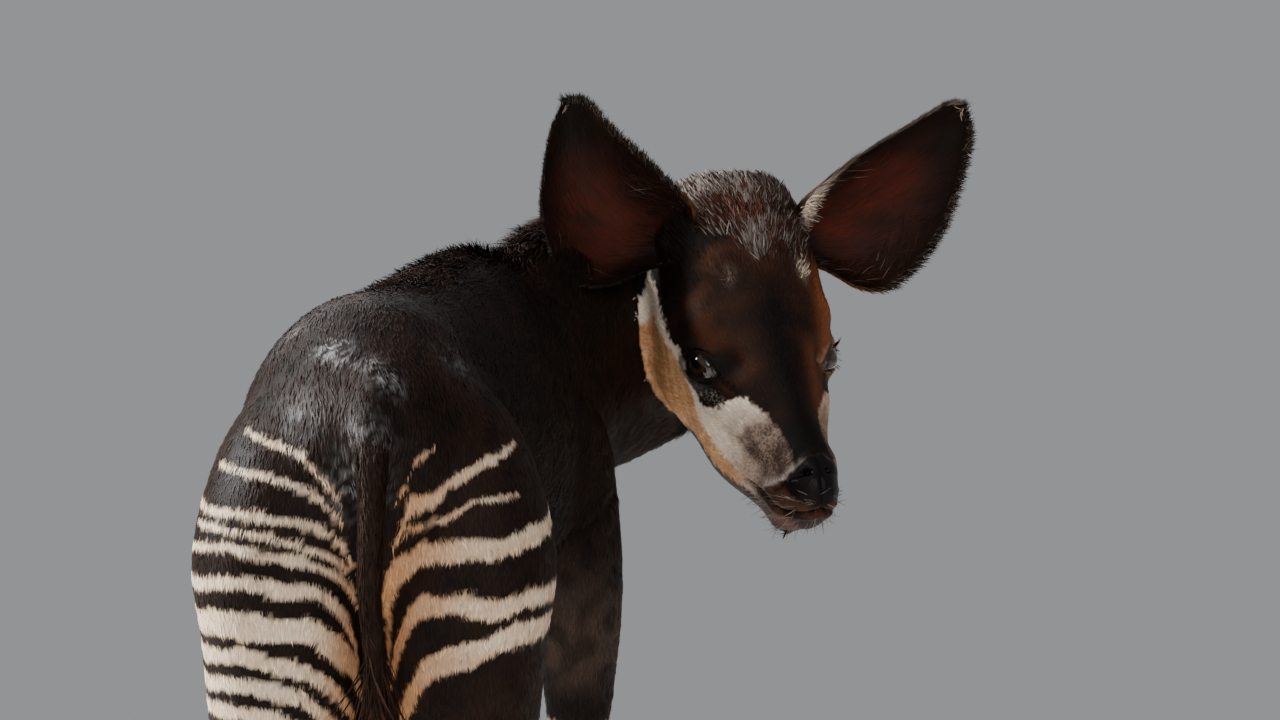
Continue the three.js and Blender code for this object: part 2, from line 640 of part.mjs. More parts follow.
// Colours of the coat and horn, one material for each kind of surface
const material = (color, roughness) =>
  new THREE.MeshStandardMaterial({ color, roughness, metalness: 0 });
const DARK_COAT = material(0x1f1510, 0.55);
const STRIPED_COAT = material(0x3a2b20, 0.6);
const FACE_COAT = material(0x4a3222, 0.6);
const PALE_SHANK = material(0xb9a78f, 0.65);
const EAR_COAT = material(0x2a1a12, 0.6);
const HORN = material(0x2b2522, 0.45);
const EYE_GLOSS = material(0x100b09, 0.1);

function materialOf(name) {
  if (name.includes("hoof")) return HORN;
  if (name.startsWith("eye")) return EYE_GLOSS;
  if (name.startsWith("ear")) return EAR_COAT;
  if (name === "head") return FACE_COAT;
  if (name.includes("shank") || name.includes("lower")) return PALE_SHANK;
  if (name.includes("thigh") || name.includes("upper")) return STRIPED_COAT;
  return DARK_COAT;
}

function meshOf(name, solid) {
  const { vertProperties, triVerts, numProp } = solid.getMesh();
  const positions = new Float32Array((vertProperties.length / numProp) * 3);
  for (let i = 0; i * 3 < positions.length; i += 1) {
    positions.set(vertProperties.subarray(i * numProp, i * numProp + 3), i * 3);
  }
  const geometry = new THREE.BufferGeometry();
  geometry.setAttribute("position", new THREE.BufferAttribute(positions, 3));
  geometry.setIndex(new THREE.BufferAttribute(triVerts, 1));
  geometry.computeVertexNormals();
  const mesh = new THREE.Mesh(geometry, materialOf(name));
  mesh.name = name;
  return mesh;
}

const okapi = new THREE.Group();
for (const [name, solid] of Object.entries(solids)) okapi.add(meshOf(name, largest(solid)));

// The origin is the middle of the footprint box, on the ground.
const box = new THREE.Box3().setFromObject(okapi);
const middle = box.getCenter(vec());
okapi.position.set(-middle.x, -middle.y, -box.min.z);

export default okapi;
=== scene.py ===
"""A life-size okapi calf, dressed in skin, coat, eyes and horn round its fixed solids.

Sizes are in millimetres about a working origin on the ground under the pelvis, with the
hindquarters heading along +Y and the animal's right towards +X, and become metres in the
frame of the solids when a mesh is made.
"""

import math

import bpy
import numpy as np
from mathutils import Matrix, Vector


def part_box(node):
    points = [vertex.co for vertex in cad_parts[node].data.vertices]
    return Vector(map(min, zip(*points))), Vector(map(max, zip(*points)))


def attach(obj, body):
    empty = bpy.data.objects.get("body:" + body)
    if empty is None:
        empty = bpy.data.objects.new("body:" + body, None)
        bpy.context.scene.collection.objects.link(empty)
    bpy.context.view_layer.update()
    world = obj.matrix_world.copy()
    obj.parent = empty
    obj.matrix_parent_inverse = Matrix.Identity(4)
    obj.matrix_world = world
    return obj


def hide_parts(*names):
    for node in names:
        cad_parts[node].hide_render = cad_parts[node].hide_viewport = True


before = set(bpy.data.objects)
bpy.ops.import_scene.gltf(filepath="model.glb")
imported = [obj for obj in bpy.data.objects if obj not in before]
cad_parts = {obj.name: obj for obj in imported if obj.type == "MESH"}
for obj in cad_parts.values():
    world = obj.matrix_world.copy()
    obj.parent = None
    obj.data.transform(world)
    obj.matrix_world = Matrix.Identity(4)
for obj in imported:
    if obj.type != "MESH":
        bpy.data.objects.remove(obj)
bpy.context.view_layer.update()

# The body's sections, as in the solids

# Torso: place along the body, sideways bend, then top, widest level, bottom and half-width.
TORSO = [
    (-276, 0, 735, 700, 650, 34), (-262, 0, 770, 702, 618, 62), (-225, 0, 802, 706, 578, 92),
    (-170, -2, 832, 710, 556, 105), (-115, -2, 845, 714, 552, 106), (-50, 1, 844, 705, 554, 106),
    (20, 14, 847, 696, 546, 108), (90, 38, 857, 690, 540, 108), (150, 62, 866, 690, 541, 103),
    (205, 84, 864, 690, 560, 94), (252, 104, 832, 684, 588, 78), (288, 120, 766, 676, 616, 52),
    (304, 128, 712, 672, 640, 22),
]
# Neck: middle, half-width, half-depth towards the crest and towards the throat.
NECK = [
    (78, 165, 705, 78, 104, 104), (106, 232, 742, 76, 112, 108), (138, 300, 777, 68, 106, 120),
    (174, 356, 806, 60, 93, 134), (214, 390, 830, 54, 77, 132), (252, 390, 846, 50, 66, 100),
    (276, 362, 850, 40, 48, 62),
]
# Legs: sideways place, forward place, height, half-widths out, in, forwards and backwards, and
# how square the back is.
HIND_LEG = [
    (34, -172, 786, 18, 20, 26, 22, 2.1), (46, -174, 758, 44, 44, 58, 54, 2.1),
    (61, -180, 706, 63, 60, 100, 88, 2.3), (69, -180, 640, 72, 68, 112, 102, 2.6),
    (72, -173, 582, 62, 71, 108, 96, 2.6), (74, -168, 520, 54, 73, 92, 86, 2.4),
    (74, -178, 462, 43, 52, 64, 68, 2.2), (72, -200, 412, 31, 31, 43, 51, 2.1),
    (70, -228, 371, 24.5, 23, 31, 39, 2.1), (68, -248, 335, 22.5, 22, 27, 33, 2.1),
    (67, -254, 300, 20.5, 20, 22, 25, 2.1), (67, -251, 255, 16, 16, 18, 18, 2.1),
    (67, -245, 180, 14, 14, 15, 16, 2.1), (67, -240, 115, 14.5, 14.5, 16, 17, 2.1),
    (67, -238, 86, 18.5, 18.5, 18.5, 21.5, 2.1), (67, -230, 62, 16, 16, 17, 18, 2.1),
    (67, -223, 42, 19, 19, 20, 20, 2.1), (67, -220, 32, 18, 18, 19, 19, 2.1),
]
FORELEG = [
    (-38, -2, 800, 14, 16, 26, 30, 2.1), (-28, 5, 768, 28, 28, 50, 56, 2.1),
    (-15, 14, 710, 37, 40, 62, 76, 2.1), (-9, 17, 652, 40, 40, 58, 80, 2.1),
    (-2, 9, 602, 39, 39, 52, 72, 2.1), (3, -1, 556, 35, 34, 44, 56, 2.1),
    (4, -4, 500, 28, 27, 36, 41, 2.1), (2, -2, 430, 23, 22, 27, 29, 2.1),
    (0, 0, 370, 20, 19.5, 23, 23, 2.1), (0, 2, 337, 21, 20.5, 23, 22, 2.1),
    (0, 3, 311, 22, 21.5, 25, 21.5, 2.1), (0, 2, 282, 19, 18.5, 20, 19, 2.1),
    (0, 0, 240, 15, 15, 16, 16, 2.1), (0, 0, 150, 14, 14, 15, 15.5, 2.1),
    (0, 0, 112, 14.5, 14.5, 16, 17, 2.1), (0, 1, 86, 18.5, 18.5, 18.5, 21.5, 2.1),
    (0, 9, 62, 16, 16, 16.5, 17.5, 2.1), (0, 16, 42, 19, 19, 20, 20, 2.1),
    (0, 19, 32, 18, 18, 19, 19, 2.1),
]
SHOULDER_YAW = 18.0  # degrees that the forelegs turn to the right with the bent chest
FORELEG_PLACE = {1: (162, 182), -1: (30, 232)}
# Tail: middle, half-width and half-thickness, from inside the rump to the tip of its flesh.
TAIL = [
    (0, -232, 764, 18, 15), (-1, -258, 757, 16, 14), (-2, -281, 734, 13, 11),
    (-2, -294, 692, 10, 8), (-3, -300, 650, 9, 7), (-3, -300, 612, 7.5, 6), (1, -298, 566, 6, 5),
    (5, -296, 524, 5, 4.5), (7, -295, 484, 4, 3.5), (7, -294, 452, 2, 2),
]
# Flesh round the root of the tail: middle and radius.
TAIL_ROOT = [(0, -222, 772, 30), (0, -246, 766, 26), (-1, -268, 752, 20), (-2, -282, 728, 14),
             (-2, -291, 702, 8)]
# Flesh that fills the angle between jaw and neck, placed along, across and up the head, and that
# between the thighs below the tail: middle and half sizes.
JAW_FILL = (52, 6, -58), (56, 50, 44)
THIGH_FILL = (0, -196, 690.0), (66, 66, 84)
# Head: place along, level of the widest line, half-width, half-depths up and down, and how
# square the upper and lower halves are.
HEAD = [
    (-34, 8, 42, 54, 30, 2.6, 2), (-15, 8, 62, 82, 50, 3.1, 2), (10, 8, 66, 93, 64, 2.9, 2),
    (42, 6, 70, 92, 76, 2.6, 1.95), (76, 3, 72, 82, 87, 2.2, 1.9), (104, 0, 69, 70, 92, 2.1, 1.9),
    (130, -4, 61, 59, 90, 2.1, 1.9), (158, -10, 51, 51, 80, 2.1, 1.9),
    (192, -15, 40, 44, 65, 2.1, 2), (224, -18, 29.5, 41, 52, 2.1, 2.1),
    (246, -19, 27.5, 38, 44, 2.2, 2.2), (260, -20, 25, 30, 41, 2.2, 2.2),
    (270, -24, 17, 18, 28, 2, 2), (274, -27, 8, 8, 12, 2, 2),
]
EYES_MIDDLE = np.array([318.5, 285.0, 774.0])
HEAD_PITCH, HEAD_YAW, HEAD_ROLL = 43.0, 26.0, 4.0
EYE_ALONG, EYE_SIDE, EYE_RISE, EYE_RADIUS = 128.0, 49.0, 12.0, 17.0
EYE_BED, EYE_BED_DEEP = (27, 23, 20.5), 3.5  # half sizes of the flesh round an eye, and its depth
EYE_MAP = 40.0  # millimetres across the eye's own map
# Which way each eye's opening and its clear front look, along, across and up the head
EYE_LOOK = {1: (0.37, 0.83, 0.41), -1: (0.54, -0.64, 0.55)}
EYE_GAZE = {1: (0.08, 0.88, 0.44), -1: (0.5, -0.8, 0.32)}
LID_HALF, LID_LIFT = 12.6, 8.4  # half the length and height of the opening between the lids
LID_ENDS, LID_BOW, LID_SLANT = 0.92, 1.3, 1.2  # shape and slant of that opening
# Ears: which way each lies, its tip, which way its cup opens, and how far it bows outwards.
EARS = {
    "right": (1, (158, 276, 986), (0.36, -1, -0.1), 1.1),
    "left": (-1, (495, 352, 979), (0.7, -1, -0.1), 0.68),
}
EAR_ROOT = (31.0, 45.0, 55.0)
EAR_BACK = 14.0
EAR_THICK, EAR_INNER = 3.2, 0.8  # thickness at the root, and depth of the inner face
EAR_SPREAD = 0.985  # share of the arc in the table that the sheet fills
# Share of an ear's length, width laid flat, degrees that it curls, and its middle's bow.
EAR_SHEET = [
    (0, 76, 250, 4), (0.07, 97, 215, 13), (0.15, 131, 168, 25), (0.26, 142, 135, 34),
    (0.4, 135, 115, 36), (0.55, 119, 105, 33), (0.7, 93, 97, 26), (0.83, 63, 90, 15),
    (0.92, 38, 84, 6), (0.965, 12, 80, 1),
]
EAR_STEM = [(-40, 38), (-18, 34), (0, 28), (12, 23), (22, 14), (26, 6)]

HEAD_END = 300  # a place along the head, clear of the nose

# Depth of the coat over the skin, in millimetres
BODY_COAT, LEG_COAT, FACE_COAT = 2.6, 1.6, 1.3
SKIN_VOXEL = 5.6  # width of the skin's faces before they are refined

UP = np.array([0.0, 0.0, 1.0])
AHEAD = np.array([0.0, 1.0, 0.0])
SIDES = {"right": 1, "left": -1}


def unit(v):
    """Each row divided by its own length."""
    return v / np.maximum(np.linalg.norm(v, axis=-1, keepdims=True), 1e-9)


def dot(a, b):
    """Row by row scalar product."""
    return (a * b).sum(-1)


def ramp(x, low, high):
    """Smooth step: 0 below low, 1 above high, and 3t^2 - 2t^3 between."""
    t = held((x - low) / (high - low))
    return t * t * (3 - 2 * t)


def bell(x, reach):
    """Bell curve: 1 at zero, falling off as exp(-(x / reach)^2)."""
    return np.exp(-(x / reach)**2)


def held(x):
    """Kept between 0 and 1."""
    return np.clip(x, 0, 1)


def powered(x, power):
    """|x|^power with the sign of x."""
    return np.sign(x) * np.abs(x)**power


def turned(v, axis, degrees):
    """Vectors turned about a unit axis, by Rodrigues' formula."""
    axis, a = np.asarray(axis, float), math.radians(degrees)
    return (v * math.cos(a) + np.cross(axis, v) * math.sin(a)
            + np.multiply.outer(v @ axis, axis) * (1 - math.cos(a)))


def ripple(points, wave, seed):
    """Soft unevenness from -1 to 1: a mean of sine waves of about one length in many directions."""
    rng = np.random.default_rng(seed)
    ways = unit(rng.normal(size=(7, 3))) * 2 * math.pi / wave
    ways *= rng.uniform(0.6, 1.6, (7, 1))
    return np.sin(points @ ways.T + rng.uniform(0, 2 * math.pi, 7)).mean(1) * 1.6


def speckle(points):
    """Uneven value from -1 to 1 that changes from hair to hair: the sine of a large multiple."""
    slow = np.sin(points @ np.array([3.1, 4.7, 2.3]))
    return np.sin(points @ np.array([91.7, 67.3, 113.9]) + 3 * slow)


# The head's own axes: along from the back of the skull to the nose, rise towards the forehead
# and across towards the animal's right
ALONG = turned(turned(np.array([0.0, -1.0, 0.0]), (1, 0, 0), HEAD_PITCH), UP, HEAD_YAW)
RISE = turned(unit(UP - ALONG * ALONG[2]), ALONG, HEAD_ROLL)
ACROSS = np.cross(ALONG, RISE)
SKULL = EYES_MIDDLE - ALONG * EYE_ALONG - RISE * EYE_RISE


def head_point(s, u, v):
    """Working place of a point given along, across and up the head."""
    return (SKULL + np.multiply.outer(np.asarray(s, float), ALONG)
            + np.multiply.outer(np.asarray(u, float), ACROSS)
            + np.multiply.outer(np.asarray(v, float), RISE))


def in_head(points):
    """Places along, across and up the head of working points."""
    q = points - SKULL
    return q @ ALONG, q @ ACROSS, q @ RISE


# The working origin in the frame of the solids, from the middle of the right eye's solid
eye_low, eye_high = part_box("eye_right")
ORIGIN = (np.array(eye_low) + np.array(eye_high)) / 2 - head_point(
    EYE_ALONG, EYE_SIDE, EYE_RISE) / 1000


def placed(points):
    """Working millimetres to metres in the frame of the solids."""
    return points / 1000 + ORIGIN


# Surfaces carried along a path


def grid(first, second):
    """Every pair of two lists of values, as two flat lists with the second running fastest."""
    return (values.ravel() for values in np.meshgrid(first, second, indexing="ij"))


def halved(a, b, c, d):
    """Two triangles for each four-cornered cell."""
    return np.vstack([np.stack([a, b, c], 1), np.stack([a, c, d], 1)])


def corners(points, faces):
    """The first, second and third corners of all faces."""
    return (points[faces[:, k]] for k in range(3))


def outward(points, faces):
    """A closed mesh with its faces turned outwards, by the sign of the volume that they hold."""
    a, b, c = corners(points, faces)
    return points, faces if dot(a, np.cross(b, c)).sum() > 0 else faces[:, ::-1]


def looks_along(points, faces, way):
    """Whether faces look along a direction more than against it."""
    a, b, c = corners(points, faces)
    return (np.cross(b - a, c - a) @ way).sum() > 0


def spline(rows, places):
    """Catmull-Rom through equally spaced rows: a cubic whose slope at each row is half the step
    between its neighbours."""
    v = np.asarray(rows, float)
    last = len(v) - 1
    i = np.clip(np.floor(places).astype(int), 0, last - 1)
    t = (places - i)[:, None]
    b, c = v[i], v[i + 1]
    a = np.where((i > 0)[:, None], v[np.maximum(i - 1, 0)], 2 * b - c)
    d = np.where((i + 2 <= last)[:, None], v[np.minimum(i + 2, last)], 2 * c - b)
    return b + 0.5 * (t * (c - a) + t**2 * (2 * a - 5 * b + 4 * c - d)
                      + t**3 * (3 * b - a - 3 * c + d))


class Path:
    """A body part's path: middles, then half sizes right, left, up and down and the powers of
    the upper and lower halves, with up squared to the path from a reference direction."""

    def __init__(self, middles, sizes, reference):
        self.middles, self.sizes = np.array(middles, float), np.array(sizes, float)
        self.reference = np.asarray(reference, float)
        self.spans = len(middles) - 1

    def frame(self, t):
        """Middle, forward, up and side directions and sizes at places counted in spans."""
        ahead = unit(spline(self.middles, np.minimum(t + 0.02, self.spans))
                     - spline(self.middles, np.maximum(t - 0.02, 0)))
        top = unit(self.reference - ahead * (ahead @ self.reference)[:, None])
        return (spline(self.middles, t), ahead, top, np.cross(ahead, top),
                spline(self.sizes, t))

    def surface(self, t, angle, grow=0.0):
        """Superellipse section: |x/a|^n + |y/b|^n = 1 at an angle, each quarter with its own
        half sizes, moved out by grow."""
        middle, _, top, side, size = self.frame(t)
        c, s = np.cos(angle), np.sin(angle)
        power = 2 / np.where(s > 0, size[:, 4], size[:, 5])
        x = powered(c, power) * (np.where(c > 0, size[:, 0], size[:, 1]) + grow)
        y = powered(s, power) * (np.where(s > 0, size[:, 2], size[:, 3]) + grow)
        return middle + side * x[:, None] + top * y[:, None]

    def tube(self, around, steps, grow=0.0):
        """A closed grid of sections with a fan at each end."""
        t = np.linspace(0, self.spans, self.spans * steps + 1)
        angle = np.linspace(0, 2 * math.pi, around, endpoint=False)
        rings = self.surface(np.repeat(t, around), np.tile(angle, len(t)), grow)
        ends = self.frame(t[[0, -1]])[0]
        points = np.vstack([rings, ends])
        i, k = grid(np.arange(len(t) - 1), np.arange(around))
        a, b = i * around + k, i * around + (k + 1) % around
        sides = np.stack([a, b, b + around, a, b + around, a + around], -1).reshape(-1, 3)
        k = np.arange(around)
        first = np.stack([(k + 1) % around, k, np.full(around, len(rings))], 1)
        base = (len(t) - 1) * around
        final = np.stack([base + k, base + (k + 1) % around, np.full(around, len(rings) + 1)], 1)
        return outward(points, np.vstack([sides, first, final]))


def leg_path(table, side, place=None):
    """A leg's path; a foreleg's is turned about its own upright line and set in its place."""
    rows = np.array(table, float)
    middles = rows[:, :3] * (side, 1, 1)
    ahead = AHEAD
    if place is not None:
        middles = turned(middles, UP, -SHOULDER_YAW) + (*place, 0)
        ahead = turned(AHEAD, UP, -SHOULDER_YAW)
    out, inner = rows[:, 3], rows[:, 4]
    right, left = (out, inner) if side > 0 else (inner, out)
    sizes = np.stack([right, left, rows[:, 5], rows[:, 6], 0 * out + 2.1, rows[:, 7]], 1)
    return Path(middles, sizes, ahead)


PATHS = {
    "torso": Path([(x, y, level) for y, x, _, level, _, _ in TORSO],
                  [(half, half, top - level, level - bottom, 1.95, 2.15)
                   for _, _, top, level, bottom, half in TORSO], UP),
    "neck": Path([r[:3] for r in NECK], [(h, h, up, down, 1.85, 1.8)
                                         for _, _, _, h, up, down in NECK], UP),
    "head": Path([head_point(r[0], 0, r[1]) for r in HEAD],
                 [(h, h, up, down, over, under) for _, _, h, up, down, over, under in HEAD], UP),
    "tail": Path([r[:3] for r in TAIL], [(w, w, d, d, 2, 2) for *_, w, d in TAIL],
                 (0, -1, 0.25)),
}
for word, side in SIDES.items():
    PATHS["hind_" + word] = leg_path(HIND_LEG, side)
    PATHS["fore_" + word] = leg_path(FORELEG, side, FORELEG_PLACE[side])


# Meshes


def add_map(mesh, name, places):
    """A map on a mesh, from its place at each corner of each face."""
    layer = mesh.uv_layers.new(name=name)
    layer.uv.foreach_set("vector", places.astype(np.float32).ravel())


def piece(name, points, faces, uv=None, colours=None, material=None):
    """A smooth mesh of triangles in the frame of the solids, with its map and colours."""
    mesh = bpy.data.meshes.new(name)
    mesh.vertices.add(len(points))
    mesh.vertices.foreach_set("co", placed(points).astype(np.float32).ravel())
    mesh.loops.add(faces.size)
    mesh.loops.foreach_set("vertex_index", faces.astype(np.int32).ravel())
    mesh.polygons.add(len(faces))
    mesh.polygons.foreach_set("loop_start", np.arange(0, faces.size, 3, dtype=np.int32))
    mesh.polygons.foreach_set("use_smooth", np.ones(len(faces), bool))
    if uv is not None:
        add_map(mesh, "OFBake", uv[faces.ravel()])
    if colours is not None:
        layer = mesh.color_attributes.new("coat", "FLOAT_COLOR", "POINT")
        layer.data.foreach_set("color", colours.astype(np.float32).ravel())
    mesh.update(calc_edges=True)
    thing = bpy.data.objects.new(name, mesh)
    bpy.context.scene.collection.objects.link(thing)
    if material:
        mesh.materials.append(material)
    return thing


def joined(parts):
    """Points and faces of many meshes as one."""
    points, faces, start = [], [], 0
    for p, f in parts:
        points.append(p)
        faces.append(f + start)
        start += len(p)
    return np.vstack(points), np.vstack(faces)


def fused(parts, voxel):
    """The outer surface round overlapping closed meshes, as triangles about a voxel wide."""
    points, faces = joined(parts)
    lump = piece("lump", points, faces)
    remesh = lump.modifiers.new("Fuse", "REMESH")
    remesh.mode, remesh.voxel_size = "VOXEL", voxel / 1000
    found = lump.evaluated_get(bpy.context.evaluated_depsgraph_get()).to_mesh()
    found.calc_loop_triangles()
    points = np.empty(len(found.vertices) * 3)
    found.vertices.foreach_get("co", points)
    faces = np.empty(len(found.loop_triangles) * 3, np.int32)
    found.loop_triangles.foreach_get("vertices", faces)
    mesh = lump.data
    bpy.data.objects.remove(lump)
    bpy.data.meshes.remove(mesh)
    return (points.reshape(-1, 3) - ORIGIN) * 1000, faces.reshape(-1, 3)


def edges_of(faces):
    """Each edge once, as sorted pairs, and each face's three edges."""
    pairs = np.sort(np.vstack([faces[:, [0, 1]], faces[:, [1, 2]], faces[:, [2, 0]]]), 1)
    found, inverse = np.unique(pairs, axis=0, return_inverse=True)
    return found, inverse.reshape(3, -1).T


def relaxed(points, faces, weight, rounds):
    """Moves each vertex part of the way to the mean of its neighbours, then part of the way
    back, so that facets and creases soften without shrinking."""
    edges, _ = edges_of(faces)
    a, b = edges.T
    count = np.bincount(a, minlength=len(points)) + np.bincount(b, minlength=len(points))
    for _ in range(rounds):
        for pull in (0.6, -0.52):
            mean = np.stack([
                np.bincount(a, points[b, k], len(points))
                + np.bincount(b, points[a, k], len(points)) for k in range(3)], 1) / count[:, None]
            points = points + (mean - points) * (weight * pull)[:, None]
    return points


def refined(points, faces, chosen):
    """Splits every edge whose two ends are chosen: four faces where all three edges split and
    two where one does."""
    edges, of_face = edges_of(faces)
    split = chosen[edges].all(1)
    index = np.full(len(edges), -1)
    index[split] = len(points) + np.arange(split.sum())
    points = np.vstack([points, points[edges[split]].mean(1)])
    middle = index[of_face]
    cuts = (middle >= 0).sum(1)
    parts = [faces[cuts == 0]]
    (a, b, c), (ab, bc, ca) = faces[cuts == 3].T, middle[cuts == 3].T
    parts += [np.stack(t, 1) for t in
              ((a, ab, ca), (ab, b, bc), (ca, bc, c), (ab, bc, ca))]
    for k in range(3):
        rows = (cuts == 1) & (middle[:, k] >= 0)
        a, b, c = (faces[rows, (k + j) % 3] for j in range(3))
        m = middle[rows, k]
        parts += [np.stack((a, m, c), 1), np.stack((m, b, c), 1)]
    return points, np.vstack(parts)


def normals_of(points, faces):
    """Vertex normals: the unit sum of the area normals of the faces round each vertex."""
    a, b, c = corners(points, faces)
    area = np.cross(b - a, c - a)
    total = np.stack([sum(np.bincount(faces[:, j], area[:, k], len(points)) for j in range(3))
                      for k in range(3)], 1)
    return unit(total)


# The skin


def globe(rows, around):
    """Angle from the pole and direction of each point of a ball, ring by ring with the two
    poles last, and the ball's faces."""
    n = rows - 2
    polar = np.linspace(0, math.pi, rows)[1:-1]
    p, q = grid(polar, np.linspace(0, 2 * math.pi, around, endpoint=False))
    ways = np.stack([np.sin(p) * np.cos(q), np.sin(p) * np.sin(q), np.cos(p)], 1)
    i, k = grid(np.arange(n - 1), np.arange(around))
    a, b = i * around + k, i * around + (k + 1) % around
    k = np.arange(around)
    after = (k + 1) % around
    base = (n - 1) * around
    faces = np.vstack([
        np.stack([a, a + around, b], 1), np.stack([b, a + around, b + around], 1),
        np.stack([np.full(around, n * around), k, after], 1),
        np.stack([np.full(around, n * around + 1), base + after, base + k], 1)])
    return np.append(p, (0, math.pi)), np.vstack([ways, [(0, 0, 1), (0, 0, -1)]]), faces


def ball(centre, axes, radii):
    """A closed ellipsoid about a centre, with one radius along each of three directions."""
    _, ways, faces = globe(18, 28)
    return outward(centre + (ways * np.array(radii)) @ axes, faces)


HEAD_AXES = np.array([ALONG, ACROSS, RISE])


def eye_axes(side):
    """Centre of an eye, and its directions towards the front corner, up and outwards."""
    look = unit(np.array(EYE_LOOK[side]))
    corner = np.array([0.88, side * -0.42, 0.2])
    corner = unit(corner - look * (corner @ look))
    up = unit(UP - look * (UP @ look) - corner * (UP @ corner))
    return (head_point(EYE_ALONG, side * EYE_SIDE, EYE_RISE),
            np.array([corner, up, look]) @ HEAD_AXES)


def ear_axes(side, tip, opens):
    """Root, axis, opening and outward directions and length of an ear."""
    s, u, v = EAR_ROOT
    root = head_point(s, side * u, v)
    axis = np.array(tip, float) - root
    length = np.linalg.norm(axis)
    axis = axis / length
    opening = np.array(opens, float)
    opening = unit(opening - axis * (opening @ axis))
    return root, axis, opening, np.cross(opening, axis) * side, length


def ear_stem(side, tip, opens, _bow):
    """The gristly root of an ear, swollen backwards where it carries the cup."""
    root, axis, opening, _, _ = ear_axes(side, tip, opens)
    middles = [root + axis * reach - opening * max(reach + 6, 0) * 0.35 for reach, _ in EAR_STEM]
    return Path(middles, [(r, r, r, r, 2, 2) for _, r in EAR_STEM], opening).tube(24, 3, -1.5)


# Soft forms of the face: place along, across and up the head, reach along and around, and how
# far they stand out of the skin or, below zero, sink into it. Each has its like on the other side.
FACE_FORMS = [
    (36, 66, 62, 20, 17, -8.0),  # hollow of the temple before the ear
    (84, 36, 78, 13, 12, 4.5),  # horn buds
    (108, 54, 42, 20, 14, 5.0),  # brows over the eyes
    (147, 40, 31, 14, 11, -6.5),  # hollow before the brow
    (158, 50, -14, 22, 9, 3.0),  # cheekbone under the eye
    (170, 46, -2, 22, 12, 2.8),  # cheek before the tear hollow
    (128, 62, -20, 14, 8, -1.5),  # groove under the lower lid
    (150, 62, -2, 9, 5, -1.6),  # tear hollow
    (96, 60, -48, 32, 26, 4.0),  # jaw muscle
    (176, 36, -34, 22, 12, -1.5),  # hollow cheek behind the lips
    (176, 34, -62, 36, 20, 6.0),  # edge of the jaw
    (84, 70, 14, 30, 16, 4.5),  # temple behind the eye
    (196, 22, 20, 20, 9, -2.0),  # sides of the nose bridge
    (190, 0, 30, 40, 9, 2.0),  # nose bridge
    (236, 24, 8, 12, 12, 3.4),  # wings of the nostrils
    (252, 20, -30, 12, 9, 1.6),  # upper lip
    (266, 0, 10, 12, 14, 2.5),  # nose pad
    (268, 0, -36, 12, 13, 5.0),  # lower lip
    (258, 12, -44, 12, 12, 2.6),  # sides of the lower lip
    (248, 10, -64, 15, 13, 3.0),  # chin
    (66, 20, 92, 24, 14, 1.5),  # crown
]
BUD_ALONG, BUD_SIDE = 88, 33  # bare tips of the horn buds, along and across the head
NOSTRIL_EDGE = np.array([(240, 2, 22), (244, 6, 17), (248, 13, 9), (247, 21, -4), (242, 27, -13),
                         (233, 31, -22)], float)
NOSTRIL = [(253, 8, 11), (252, 14, 5), (248, 22, -6), (243, 26, -14)]


def mouth_level(s, u):
    """Height of the mouth line up the head, rising round its front to the middle."""
    side = np.interp(s, [200, 206, 236, 259, 270], [-41, -40, -31, -25, -21])
    return side + 12 * bell(u, 15) * ramp(s, 254, 270)


def distance_to(points, route):
    """Least distance from each point to a route of straight stretches."""
    best = np.full(len(points), 1e9)
    for a, b in zip(route[:-1], route[1:]):
        t = held((points - a) @ (b - a) / ((b - a) @ (b - a)))
        best = np.minimum(best, np.linalg.norm(points - a - t[:, None] * (b - a), axis=1))
    return best


def nostril_distance(s, u, v):
    """Distance from the middle line of the nearer nostril's comma."""
    return distance_to(np.stack([s, np.abs(u), v], 1), np.array(NOSTRIL, float))


def faced(points, faces):
    """The head's fine forms: bell-shaped swellings and hollows, the nostrils' commas, the
    groove between the lips and the beds of the eyes."""
    s, u, v = in_head(points)
    normal = normals_of(points, faces)
    rise = np.zeros(len(points))
    for along, across, up, reach, spread, height in FACE_FORMS:
        for side in ((1, -1) if across else (1,)):
            far = (((s - along) / reach)**2
                   + ((u - side * across)**2 + (v - up)**2) / spread**2)
            rise += height * np.exp(-far)
    near = (s > 180) & (s < HEAD_END)
    d = nostril_distance(s, u, v)
    edge = distance_to(np.stack([s, np.abs(u), v], 1), NOSTRIL_EDGE)
    rise += near * (1.4 * bell(edge, 4) - 8 * (1 - ramp(d, 0.4, 4.6)))
    gap = v - mouth_level(s, u)
    lips = near * ramp(s, 203, 214)
    rise += lips * (1.0 * bell(gap - 5, 3.5) + 1.2 * bell(gap + 5, 3.5)
                    - 4.5 * bell(gap, 1.5))
    rise -= near * 1.6 * bell(u, 1.6) * ramp(s, 256, 264) * ramp(v, -14, -8)
    points = points + normal * rise[:, None]
    for side in (1, -1):
        centre, axes = eye_axes(side)
        q = (points - centre) @ axes.T
        oval = np.hypot(q[:, 0] / LID_HALF, q[:, 1] / LID_LIFT)
        sink = (1 - ramp(oval, 1.12, 1.55)) * np.maximum(q[:, 2] + 4, 0) * (q[:, 2] < 32)
        points = points - axes[2] * sink[:, None]
    return points


